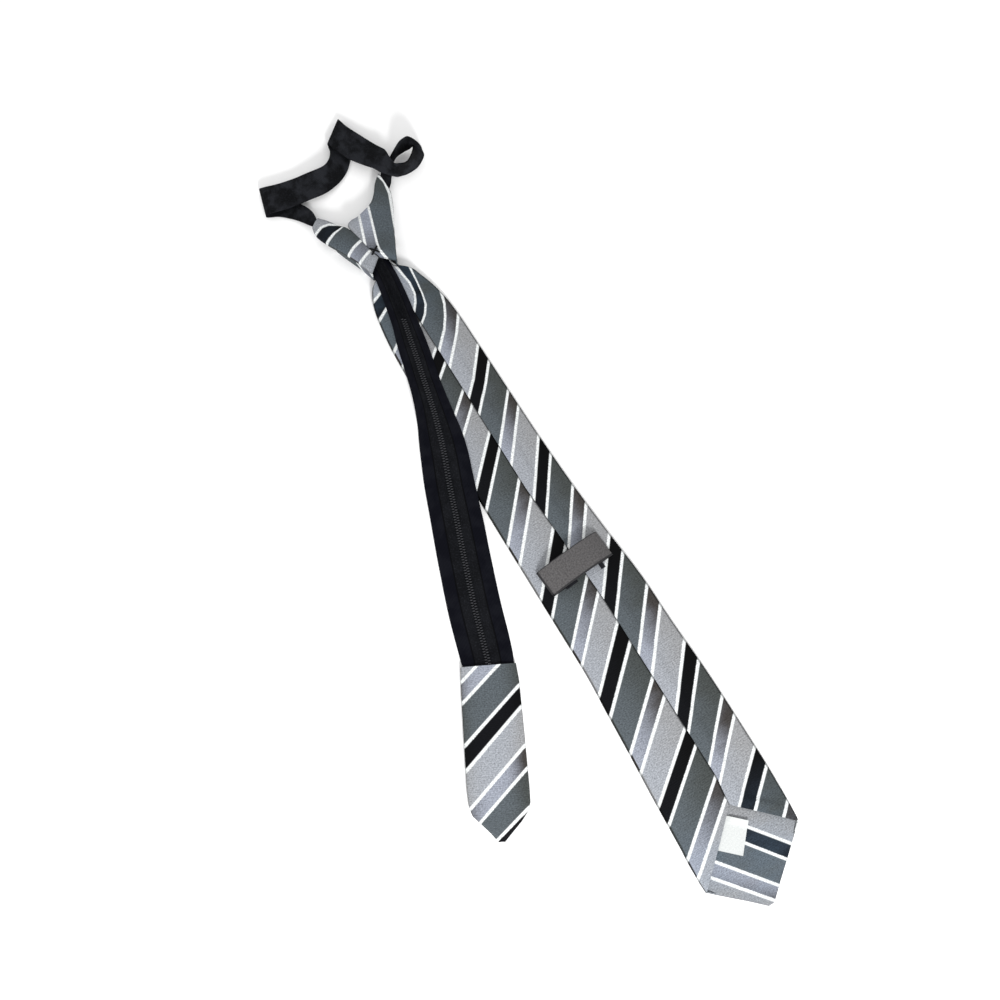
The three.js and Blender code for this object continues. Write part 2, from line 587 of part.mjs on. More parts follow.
function piece(name, geometry, material, x = 0, y = 0, z = 0, turn = 0) {
  const mesh = new THREE.Mesh(geometry, material);
  mesh.name = name;
  mesh.position.set(x, y, z);
  mesh.rotation.z = turn;
  return mesh;
}

const wasm = await Module();
wasm.setup();

const group = new THREE.Group();

const blade = new THREE.Group();
blade.add(piece('blade_shell', bladeShell(), cloth('#8c8f96')));
blade.add(piece('tip_lining', tipLining(), cloth('#9a9ca3')));
const careZ = CLOTH + GAP + LINING + GAP + LABEL_CLOTH / 2;
blade.add(piece('care_label', careLabel(), cloth('#e6e6e4', 0.5), -4.5, 17, careZ, CARE_LABEL_TURN));
blade.add(piece('keeper_loop', keeperLoop(), cloth('#6b6a6a', 0.5), 0.5, KEEPER_Y, flapTop, KEEPER_TURN));
group.add(blade);

const knot = new THREE.Group();
knot.add(piece('knot_wrap', knotWrap(), cloth('#7d8087')));
knot.add(piece('left_sleeve', knotSleeve(LEFT_SLEEVE), cloth('#8f929a')));
knot.add(piece('right_sleeve', knotSleeve(RIGHT_SLEEVE), cloth('#84878e')));
knot.add(piece('neck_band', neckBand(), cloth('#1a1b1f', 0.75)));
const tackZ = RIGHT_SLEEVE.at(-1).base * KNOT_THICKNESS + SLEEVE_THICKNESS + 0.5 + GAP + TACK_THREAD / 2;
const tackY = KNOT_BOTTOM_Y + 0.34 * KNOT_HEIGHT;
knot.add(piece('bar_tack', threadCross(wasm), cloth('#101112', 0.8), -3, tackY, tackZ));
group.add(knot);

const strip = new THREE.Group();
strip.add(piece('tape_left', zipperTape(1), cloth('#191a20', 0.8)));
strip.add(piece('tape_right', zipperTape(-1), cloth('#191a20', 0.8)));
strip.add(piece('zipper_coil', zipperCoil(), cloth('#2a2b30', 0.5)));
const mouth = stripAt(STRIP_END).centre;
mouth.add(point(Math.sin(TAIL_TURN) * TAIL_GRIP, Math.cos(TAIL_TURN) * TAIL_GRIP, 0));
strip.add(piece('tail_sleeve', tailSleeve(), cloth('#83868d'), mouth.x, mouth.y, 0, -TAIL_TURN));
group.add(strip);

export default group;
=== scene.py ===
"""Looks of a striped zipper necktie that lies face down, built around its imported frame."""
import logging
import math
from dataclasses import dataclass
from enum import Enum
from typing import Any, Callable, Sequence

import bpy
import numpy as np
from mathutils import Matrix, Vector


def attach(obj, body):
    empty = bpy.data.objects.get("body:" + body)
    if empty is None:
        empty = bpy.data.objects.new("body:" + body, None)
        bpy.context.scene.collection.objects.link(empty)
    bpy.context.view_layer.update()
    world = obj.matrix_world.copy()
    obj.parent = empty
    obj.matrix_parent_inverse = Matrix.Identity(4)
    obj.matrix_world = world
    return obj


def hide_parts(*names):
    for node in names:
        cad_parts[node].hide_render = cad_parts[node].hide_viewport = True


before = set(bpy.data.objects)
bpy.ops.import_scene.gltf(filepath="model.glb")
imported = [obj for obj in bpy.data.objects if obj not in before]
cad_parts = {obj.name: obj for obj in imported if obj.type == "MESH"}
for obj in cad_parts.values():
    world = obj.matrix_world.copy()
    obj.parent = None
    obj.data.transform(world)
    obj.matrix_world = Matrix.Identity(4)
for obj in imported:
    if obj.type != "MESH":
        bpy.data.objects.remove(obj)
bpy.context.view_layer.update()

LOG = logging.getLogger("necktie")
MM = 0.001
STUDIO_LEVEL = 1.4
Table = tuple[tuple[float, ...], ...]


class Placing(Enum):
    LAID = "laid"
    FOLDED = "folded"
    GATHERED = "gathered"


class Rim(Enum):
    """Whether the two long edges of a grid of cloth stay open or are sewn into a tube."""

    OPEN = 0
    CLOSED = 1


def smoothstep(low: float, high: float, value: Any) -> Any:
    """Rises from 0 at low to 1 at high with soft ends."""
    share = np.clip((np.asarray(value, float) - low) / (high - low), 0.0, 1.0)
    return share * share * (3.0 - 2.0 * share)


def read_straight(table: Table, at: Any, column: int) -> np.ndarray:
    """Reads one column of a table, with straight stretches between its rows."""
    rows = np.asarray(table, float)
    return np.interp(at, rows[:, 0], rows[:, column])


def read_smooth(table: Table, at: Any, column: int) -> np.ndarray:
    """Reads one column of a table on a smooth curve that never overshoots its rows.

    Args:
        table: Rows whose first value is the place.
        at: Places to read.
        column: Which value of a row to read.

    Returns:
        The values at those places.
    """
    rows = np.asarray(table, float)
    keys, values = rows[:, 0], rows[:, column]
    steps = np.diff(keys)
    rises = np.diff(values) / steps
    slopes = np.concatenate([rises[:1], (rises[1:] + rises[:-1]) / 2.0, rises[-1:]])
    turning = np.concatenate([[False], rises[1:] * rises[:-1] <= 0.0, [False]])
    slopes[turning] = 0.0
    places = np.clip(np.asarray(at, float), keys[0], keys[-1])
    row = np.clip(np.searchsorted(keys, places, side="right") - 1, 0, len(steps) - 1)
    run = steps[row]
    share = (places - keys[row]) / run
    square, cube = share**2, share**3
    start = (2 * cube - 3 * square + 1) * values[row] + (cube - 2 * square + share) * run * slopes[row]
    finish = (3 * square - 2 * cube) * values[row + 1] + (cube - square) * run * slopes[row + 1]
    return start + finish


def ripple(x: Any, y: Any, seed: float, reach: float = 30.0) -> np.ndarray:
    """Soft unevenness of laid cloth, from -1 to 1, as a few crossing waves.

    Args:
        x: Places across, in millimetres.
        y: Places along, in millimetres.
        seed: Shift that makes each piece uneven in its own way.
        reach: Length of the longest waves in millimetres.

    Returns:
        The height share at each place.
    """
    turn = 2.0 * math.pi / reach
    waves = np.sin(turn * (0.8 * x + 0.3 * y) + 1.7 * seed)
    waves = waves + 0.7 * np.sin(turn * (0.35 * y - 1.1 * x) * 1.3 + 4.1 * seed)
    waves = waves + 0.6 * np.sin(turn * (0.55 * y + 0.2 * x) * 1.9 + 2.3 * seed)
    return waves / 2.3


class Signal:
    """A socket of a material's node tree that can be used in a Python expression."""

    def __init__(self, mixer: "Mixer", socket: Any) -> None:
        """Keeps the node tree and the socket."""
        self.mixer = mixer
        self.socket = socket

    def _math(self, operation: str, *values: Any) -> "Signal":
        """Adds one Math node for an operation on numbers."""
        return self.mixer.node("ShaderNodeMath", {"operation": operation}, values)

    def __add__(self, other: Any) -> "Signal":
        """Sum of two values."""
        return self._math("ADD", self, other)

    def __radd__(self, other: Any) -> "Signal":
        """Sum with a number on the left."""
        return self._math("ADD", other, self)

    def __sub__(self, other: Any) -> "Signal":
        """Difference of two values."""
        return self._math("SUBTRACT", self, other)

    def __rsub__(self, other: Any) -> "Signal":
        """Difference with a number on the left."""
        return self._math("SUBTRACT", other, self)

    def __mul__(self, other: Any) -> "Signal":
        """Product of two values."""
        return self._math("MULTIPLY", self, other)

    def __rmul__(self, other: Any) -> "Signal":
        """Product with a number on the left."""
        return self._math("MULTIPLY", other, self)

    def __truediv__(self, other: Any) -> "Signal":
        """Quotient of two values."""
        return self._math("DIVIDE", self, other)

    def absolute(self) -> "Signal":
        """Value without its sign."""
        return self._math("ABSOLUTE", self)

    def fraction(self) -> "Signal":
        """Value less its whole part."""
        return self._math("FRACT", self)

    def above(self, edge: float, soft: float) -> "Signal":
        """Mask that turns from 0 to 1 around an edge.

        Args:
            edge: Value at the middle of the change.
            soft: Half the width of the change.

        Returns:
            The mask.
        """
        settings = {"interpolation_type": "SMOOTHSTEP"}
        return self.mixer.node("ShaderNodeMapRange", settings, (self, edge - soft, edge + soft, 0.0, 1.0))

    def part(self, axis: str) -> "Signal":
        """One of a vector's X, Y and Z values."""
        split = self.mixer.raw("ShaderNodeSeparateXYZ", {}, (self,))
        return Signal(self.mixer, split.outputs[axis])


def linear(code: str) -> tuple[float, float, float, float]:
    """Turns the look of a colour under the studio's light, as six hexadecimal digits, into its base colour."""
    shades = [int(code[i:i + 2], 16) / 255.0 for i in (0, 2, 4)]
    red, green, blue = ((s / 12.92 if s <= 0.04045 else ((s + 0.055) / 1.055) ** 2.4) / STUDIO_LEVEL
                        for s in shades)
    return red, green, blue, 1.0


class Mixer:
    """Makes one material and adds its nodes."""

    def __init__(self, name: str) -> None:
        """Starts a material with a bare Principled shader."""
        self.material = bpy.data.materials.new(name)
        self.material.use_nodes = True
        self.tree = self.material.node_tree
        self.shader = next(n for n in self.tree.nodes if n.type == "BSDF_PRINCIPLED")

    def raw(self, kind: str, settings: dict[str, Any], inputs: Any) -> Any:
        """Adds a node, sets it, and fills its sockets.

        Args:
            kind: The node's type.
            settings: Its own settings; a ramp's stops are given as stops.
            inputs: Values or signals, by order or by socket name; None leaves a socket alone.

        Returns:
            The node.
        """
        node = self.tree.nodes.new(kind)
        for key, value in settings.items():
            if key == "stops":
                self._ramp(node.color_ramp, value)
            else:
                setattr(node, key, value)
        pairs = inputs.items() if isinstance(inputs, dict) else enumerate(inputs)
        for place, value in pairs:
            if value is None:
                continue
            if isinstance(value, Signal):
                self.tree.links.new(value.socket, node.inputs[place])
            else:
                node.inputs[place].default_value = value
        return node

    def node(self, kind: str, settings: dict[str, Any], inputs: Any, output: Any = 0) -> Signal:
        """Adds a node as raw does and returns one of its outputs as a signal."""
        return Signal(self, self.raw(kind, settings, inputs).outputs[output])

    @staticmethod
    def _ramp(ramp: Any, stops: Sequence[tuple[float, Any]]) -> None:
        """Writes the stops of a colour ramp."""
        while len(ramp.elements) < len(stops):
            ramp.elements.new(1.0)
        for element, (place, colour) in zip(ramp.elements, stops):
            element.position = place
            element.color = colour

    def map(self, name: str) -> Signal:
        """One of the piece's UV maps."""
        return self.node("ShaderNodeUVMap", {"uv_map": name}, ())

    def place(self) -> Signal:
        """Object coordinates, in metres in the part's frame."""
        return self.node("ShaderNodeTexCoord", {}, (), "Object")

    def noise(self, where: Signal, scale: float, detail: float = 2.0, rough: float = 0.5) -> Signal:
        """Noise from 0 to 1 over a set of coordinates."""
        return self.node("ShaderNodeTexNoise", {}, {"Vector": where, "Scale": scale, "Detail": detail,
                                                    "Roughness": rough})

    def stretched(self, where: Signal, turn: float, scale: tuple[float, float, float]) -> Signal:
        """Coordinates that are turned about Z and then scaled."""
        return self.node("ShaderNodeMapping", {}, {"Vector": where, "Rotation": (0.0, 0.0, turn), "Scale": scale})

    def blend(self, factor: Any, first: Any, second: Any, mode: str = "MIX") -> Signal:
        """Mixes two colours."""
        settings = {"data_type": "RGBA", "blend_type": mode}
        mix = self.raw("ShaderNodeMix", settings, {0: factor, 6: first, 7: second})
        return Signal(self, mix.outputs[2])

    def bump(self, height: Signal, distance: float, strength: float = 1.0) -> Signal:
        """Turns a height in shares of the distance into a shading normal."""
        return self.node("ShaderNodeBump", {}, {"Strength": strength, "Distance": distance, "Height": height})

    def finish(self, colour: Signal, roughness: Any, normal: Signal | None, **even: Any) -> Any:
        """Connects the shader and returns the material.

        Args:
            colour: Base colour.
            roughness: Roughness, a number or a signal.
            normal: Shading normal, or None.
            **even: Values of other sockets that are the same all over, with _ for spaces.

        Returns:
            The finished material.
        """
        self.tree.links.new(colour.socket, self.shader.inputs["Base Color"])
        if isinstance(roughness, Signal):
            self.tree.links.new(roughness.socket, self.shader.inputs["Roughness"])
        else:
            self.shader.inputs["Roughness"].default_value = roughness
        if normal is not None:
            self.tree.links.new(normal.socket, self.shader.inputs["Normal"])
        for name, value in even.items():
            self.shader.inputs[name.replace("_", " ")].default_value = value
        return self.material


@dataclass(frozen=True)
class StripedSatin:
    """Striped satin of the tie: black, dark, taupe and light bars with white lines between them."""

    name: str = "striped_satin"
    repeat: float = 60.0
    edges: tuple[float, ...] = (0.0, 0.182, 0.509, 0.686)
    line: float = 2.15
    # Bar colours without painted sheen and with it; the Stripe map's sheen share blends between them.
    sheenless_bars: tuple[str, ...] = ("060607", "474B4A", "413E3C", "9A9B9D")
    painted_sheen_bars: tuple[str, ...] = ("0E0F13", "5B6267", "9EA3AF", "A4A8AF")
    white: str = "F4F7F7"
    # Colour of the painted blue reflection near the knot and the tip.
    blue: str = "5C7186"
    rib: float = 1.4
    grain: float = 2.0

    def build(self) -> Any:
        """Builds the satin from the maps Stripe (repeats, share of painted sheen) and Cloth, in millimetres."""
        mixer = Mixer(self.name)
        cloth = mixer.map("Cloth")
        stripe = mixer.map("Stripe")
        grain = mixer.noise(cloth, 0.85, 2.0, 0.8)
        phase = stripe.part("X") + (grain - 0.5) * (0.45 / self.repeat)
        place = (phase + 64.0).fraction()
        patches = mixer.noise(mixer.stretched(cloth, 0.6, (0.03, 0.08, 1.0)), 1.0, 2.0, 0.5)
        # Painted sheen: the bars blend from the first colours to the brighter, silvery second ones where the sheen
        # share, varied by patches, is high.
        sheen = (stripe.part("Y") + (patches - 0.5) * 0.5).above(0.5, 0.5)
        base = mixer.blend(sheen, self._bars(mixer, place, self.sheenless_bars), self._bars(mixer, place, self.painted_sheen_bars))
        along = mixer.place().part("Y")
        # Painted blue reflection: a blue tint over the bars near the knot and near the tip, weaker above the knot's
        # start, in patches and off the white lines.
        painted_blue_reflection = (along - 0.245).absolute().above(0.215, 0.03) * (1.0 - along.above(0.515, 0.008) * 0.65)
        painted_blue_reflection = painted_blue_reflection * patches.above(0.42, 0.25) * (1.0 - self._bars(mixer, place, ("000000",) * 4))
        tinted = mixer.blend(painted_blue_reflection * 0.22, base, linear(self.blue))
        ribs = self._ribs(mixer, cloth)
        shadow = 1.0 - (0.0 - stripe.part("Y")).above(0.5, 0.5) * 0.85
        shade = (1.0 + (grain - 0.5) * self.grain + (ribs - 0.5) * 0.1) * shadow
        colour = mixer.blend(1.0, tinted, shade, "MULTIPLY")
        height = ribs * 0.5 + grain * 0.5
        rough = 0.46 + grain * 0.2
        return mixer.finish(colour, rough, mixer.bump(height, 0.00018, 0.6), Specular_IOR_Level=0.06)

    def _bars(self, mixer: Mixer, place: Signal, bars: Sequence[str]) -> Signal:
        """Lays the bars and the white lines at their edges over one repeat.

        Args:
            mixer: The material being made.
            place: Share of the repeat, from 0 to 1.
            bars: Colours of the four bars.

        Returns:
            The bars' colour.
        """
        half = self.line / 2.0 / self.repeat
        soft = 0.25 / self.repeat
        stops: list[tuple[float, Any]] = [(0.0, linear(self.white))]
        for index, bar in enumerate(bars):
            start = self.edges[index] + half
            end = (self.edges[index + 1] if index < 3 else 1.0) - half
            stops += [(start - soft, linear(self.white)), (start + soft, linear(bar))]
            stops += [(end - soft, linear(bar)), (end + soft, linear(self.white))]
        return mixer.node("ShaderNodeValToRGB", {"stops": stops}, (place,))

    def _ribs(self, mixer: Mixer, cloth: Signal) -> Signal:
        """Fine ribs of the weave across the tie, from 0 between threads to 1 on them."""
        return mixer.node("ShaderNodeTexWave", {"wave_type": "BANDS", "bands_direction": "Y"},
                          {"Vector": cloth, "Scale": 0.31416 / self.rib, "Distortion": 1.4, "Detail": 1.0})


@dataclass(frozen=True)
class WovenTape:
    """Black woven tape, with a map in millimetres: X across from its middle, Y along."""

    name: str
    ground: str = "0F1013"
    border: str = "0B0C14"
    half_middle: float = 9.5
    rib: float = 1.1
    seam: float = 0.8
    blotch: float = 0.08

    def build(self) -> Any:
        """Builds the tape with a ribbed middle, finer borders and two seam lines between them."""
        mixer = Mixer(self.name)
        cloth = mixer.map("Cloth")
        side = cloth.part("X").absolute()
        middle = 1.0 - side.above(self.half_middle, 0.25)
        seam = 1.0 - (side - self.half_middle).absolute().above(0.5, 0.3)
        ribs = mixer.node("ShaderNodeTexWave", {"wave_type": "BANDS", "bands_direction": "Y"},
                          {"Vector": cloth, "Scale": 0.31416 / self.rib, "Distortion": 0.5})
        weave = mixer.node("ShaderNodeTexWave", {"wave_type": "BANDS", "bands_direction": "DIAGONAL"},
                           {"Vector": cloth, "Scale": 0.22, "Distortion": 0.8})
        fuzz = mixer.noise(cloth, 0.9, 3.0, 0.7)
        tone = mixer.blend(middle, linear(self.border), linear(self.ground))
        lint = mixer.blend(fuzz.above(0.6, 0.1) * middle * 0.22, tone, linear("4A4C55"))
        # Painted sheen: large lighter blotches over the tape, as strong as blotch sets.
        blotches = mixer.noise(cloth, 0.07, 3.0, 0.6).above(0.52, 0.12)
        blotchy_sheen = mixer.blend(blotches * self.blotch, lint, linear("3A3C42"))
        colour = mixer.blend(seam * self.seam, blotchy_sheen, linear("030304"))
        height = (ribs * middle + weave * (1.0 - middle)) * 0.5 + fuzz * 0.4 - seam * self.seam
        return mixer.finish(colour, 0.72 + fuzz * 0.15, mixer.bump(height, 0.00025, 0.8),
                            Specular_IOR_Level=0.05)


@dataclass(frozen=True)
class PlainWeave:
    """A plain woven or satin cloth of one colour, with a map in millimetres."""

    name: str
    colour: str
    shade: str
    roughness: float = 0.5
    rib: float = 0.8
    relief: float = 0.00012
    mottle: float = 0.35
    # Where painted shade darkens the edges, in millimetres: across below minus the first value, along below the
    # second and above the third.
    hem: tuple[float, float, float] = (99.0, 0.0, 99.0)

    def build(self) -> Any:
        """Builds the cloth with crossing ribs, soft changes of tone and painted shade along its edges."""
        mixer = Mixer(self.name)
        cloth = mixer.map("Cloth")
        scale = 0.31416 / self.rib
        warp = mixer.node("ShaderNodeTexWave", {"wave_type": "BANDS"},
                          {"Vector": cloth, "Scale": scale, "Distortion": 0.6})
        weft = mixer.node("ShaderNodeTexWave", {"wave_type": "BANDS", "bands_direction": "Y"},
                          {"Vector": cloth, "Scale": scale, "Distortion": 0.6})
        fuzz = mixer.noise(cloth, self.mottle, 3.0, 0.6)
        thread = warp * 0.5 + weft * 0.5
        tone = mixer.blend(fuzz.above(0.5, 0.25), linear(self.colour), linear(self.shade))
        woven = mixer.blend((1.0 - thread) * 0.25, tone, linear(self.shade))
        # Painted shade: the cloth turns near black at the left end and along the lower and upper edges that hem
        # sets.
        end, low, high = self.hem
        turned = (0.0 - cloth.part("X")).above(end, 0.3) + (1.0 - cloth.part("Y").above(low, 0.3))
        edge = turned + cloth.part("Y").above(high, 0.3)
        colour = mixer.blend(edge * 0.75, woven, linear("16171B"))
        return mixer.finish(colour, self.roughness + fuzz * 0.1, mixer.bump(thread, self.relief, 0.8),
                            Specular_IOR_Level=0.15)


@dataclass(frozen=True)
class MouldedNylon:
    """Dark nylon of the zipper's teeth."""

    name: str = "coil_nylon"
    colour: str = "1A1B1F"

    def build(self) -> Any:
        """Builds the nylon with a faint mottle."""
        mixer = Mixer(self.name)
        mottle = mixer.noise(mixer.place(), 900.0, 2.0)
        tone = mixer.blend(mottle, linear(self.colour), linear("2C2D33"))
        return mixer.finish(tone, 0.42 + mottle * 0.1, mixer.bump(mottle, 0.00004, 0.4), Specular_IOR_Level=0.3)


@dataclass(frozen=True)
class StripeLine:
    """One edge between two bars, as it runs over a laid piece, with its count of repeats."""

    count: float
    points: tuple[tuple[float, float], ...]


class StripeGuide:
    """Reads how many repeats of the stripes lie before any point of a laid piece."""

    def __init__(self, lines: Sequence[StripeLine], repeat: float) -> None:
        """Orders the lines by their count and finds which side of each is ahead."""
        self.lines = sorted(lines, key=lambda line: line.count)
        self.repeat = repeat
        self.turns = []
        for index, line in enumerate(self.lines):
            last = index == len(self.lines) - 1
            near = np.mean(self.lines[index - 1 if last else index + 1].points, axis=0)
            side = self._signed(line, near[:1], near[1:])[0]
            self.turns.append(np.sign(side) * (-1.0 if last else 1.0))

    @staticmethod
    def _signed(line: StripeLine, x: np.ndarray, y: np.ndarray) -> np.ndarray:
        """Distance to a line that runs on past its ends, with the sign of its side."""
        points = np.asarray(line.points, float)
        best = np.full(x.shape, np.inf)
        signed = np.zeros(x.shape)
        for index in range(len(points) - 1):
            start, step = points[index], points[index + 1] - points[index]
            length = float(np.hypot(*step))
            ahead = ((x - start[0]) * step[0] + (y - start[1]) * step[1]) / length**2
            low = -np.inf if index == 0 else 0.0
            high = np.inf if index == len(points) - 2 else 1.0
            ahead = np.clip(ahead, low, high)
            away = np.hypot(x - start[0] - ahead * step[0], y - start[1] - ahead * step[1])
            side = ((y - start[1]) * step[0] - (x - start[0]) * step[1]) / length
            closer = away < best
            best = np.where(closer, away, best)
            signed = np.where(closer, np.copysign(away, side), signed)
        return signed

    def count(self, x: Any, y: Any) -> np.ndarray:
        """Counts repeats at points of the plan, in millimetres."""
        x, y = np.broadcast_arrays(np.asarray(x, float), np.asarray(y, float))
        ahead = np.array([turn * self._signed(line, x, y) for turn, line in zip(self.turns, self.lines)])
        counts = np.array([line.count for line in self.lines])
        passed = np.clip((ahead >= 0.0).sum(axis=0) - 1, -1, len(counts) - 1)
        result = counts[0] + ahead[0] / self.repeat
        for index in range(len(counts) - 1):
            span = ahead[index] - ahead[index + 1]
            share = ahead[index] / np.where(np.abs(span) < 1e-6, 1e-6, span)
            between = counts[index] + (counts[index + 1] - counts[index]) * share
            result = np.where(passed == index, between, result)
        beyond = counts[-1] + ahead[-1] / self.repeat
        return np.where(passed == len(counts) - 1, beyond, result)


@dataclass
class ClothGrid:
    """A grid of points on the middle of a cloth, in millimetres, with its maps."""

    name: str
    places: np.ndarray
    cloth: np.ndarray
    count: np.ndarray | None = None
    # Share of painted sheen, written to the Stripe map's Y; below 0 it paints shade.
    sheen: Any = 0.5
    thickness: float = 0.8
    rim: Rim = Rim.OPEN

    def build(self, material: Any) -> Any:
        """Makes the mesh from a grid primitive and gives it its thickness.

        Args:
            material: The material of the piece.

        Returns:
            The new object.
        """
        rows, columns = self.places.shape[:2]
        bpy.ops.object.select_all(action="DESELECT")
        bpy.ops.mesh.primitive_grid_add(x_subdivisions=columns - 1, y_subdivisions=rows - 1, size=1.0,
                                        calc_uvs=True)
        piece = bpy.context.object
        piece.name = self.name
        mesh = piece.data
        mesh.name = self.name
        mesh.vertices.foreach_set("co", (self.places * MM).reshape(-1).astype(np.float32))
        corners = np.empty(len(mesh.loops), np.int32)
        mesh.loops.foreach_get("vertex_index", corners)
        self._map(mesh, "Cloth", self.cloth.reshape(-1, 2), corners)
        if self.count is not None:
            sheen = np.broadcast_to(self.sheen, self.count.shape)
            pairs = np.stack([self.count.reshape(-1), sheen.reshape(-1)], axis=1)
            self._map(mesh, "Stripe", pairs, corners)
        mesh.update()
        if self.rim is Rim.CLOSED:
            merge_doubles(piece)
        solidify(piece, self.thickness * MM)
        mesh.materials.append(material)
        return piece

    @staticmethod
    def _map(mesh: Any, name: str, values: np.ndarray, corners: np.ndarray) -> None:
        """Writes one UV map from a value for each grid point."""
        layer = mesh.uv_layers.get(name)
        if layer is None and name == "Cloth" and mesh.uv_layers:
            layer = mesh.uv_layers[0]
            layer.name = name
        if layer is None:
            layer = mesh.uv_layers.new(name=name)
        layer.data.foreach_set("uv", values[corners].reshape(-1).astype(np.float32))


def merge_doubles(piece: Any) -> None:
    """Joins points of a piece that lie in one place."""
    bpy.ops.object.mode_set(mode="EDIT")
    bpy.ops.mesh.select_all(action="SELECT")
    bpy.ops.mesh.remove_doubles(threshold=1e-6)
    bpy.ops.mesh.normals_make_consistent(inside=False)
    bpy.ops.object.mode_set(mode="OBJECT")


def solidify(piece: Any, thickness: float) -> None:
    """Gives a sheet its thickness around its middle and smooths its shading."""
    modifier = piece.modifiers.new("wall", "SOLIDIFY")
    modifier.thickness = thickness
    modifier.offset = 0.0
    modifier.use_even_offset = False
    bpy.ops.object.modifier_apply(modifier=modifier.name)
    bpy.ops.object.shade_smooth_by_angle(angle=math.radians(50))


def lengths(points: np.ndarray, axis: int) -> np.ndarray:
    """Length of cloth from the first point, along one direction of a grid."""
    steps = np.linalg.norm(np.diff(points, axis=axis), axis=2)
    start = np.zeros_like(np.take(steps, [0], axis=axis))
    return np.concatenate([start, np.cumsum(steps, axis=axis)], axis=axis)


def cloth_map(points: np.ndarray) -> np.ndarray:
    """Map in millimetres that follows the cloth across each row and along the rows."""
    across = lengths(points, 1)
    middle = across[:, -1:] / 2.0
    along = np.broadcast_to(lengths(points, 0).mean(axis=1, keepdims=True), across.shape)
    return np.stack([across - middle, along], axis=2)


def declare(piece: Any, node: str | Sequence[str], flat: tuple[float, float]) -> None:
    """Attaches a sheet to the root body, hides the CAD parts that it replaces, and logs it.

    Args:
        piece: The sheet.
        node: CAD node or nodes that it stands for.
        flat: Width and length that it was cut to, in millimetres; not used.
    """
    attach(piece, "root")
    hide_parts(*([node] if isinstance(node, str) else node))
    flat[0] * MM
    flat[1] * MM
    LOG.info("%s stands for %s", piece.name, node)


SATIN = StripedSatin()


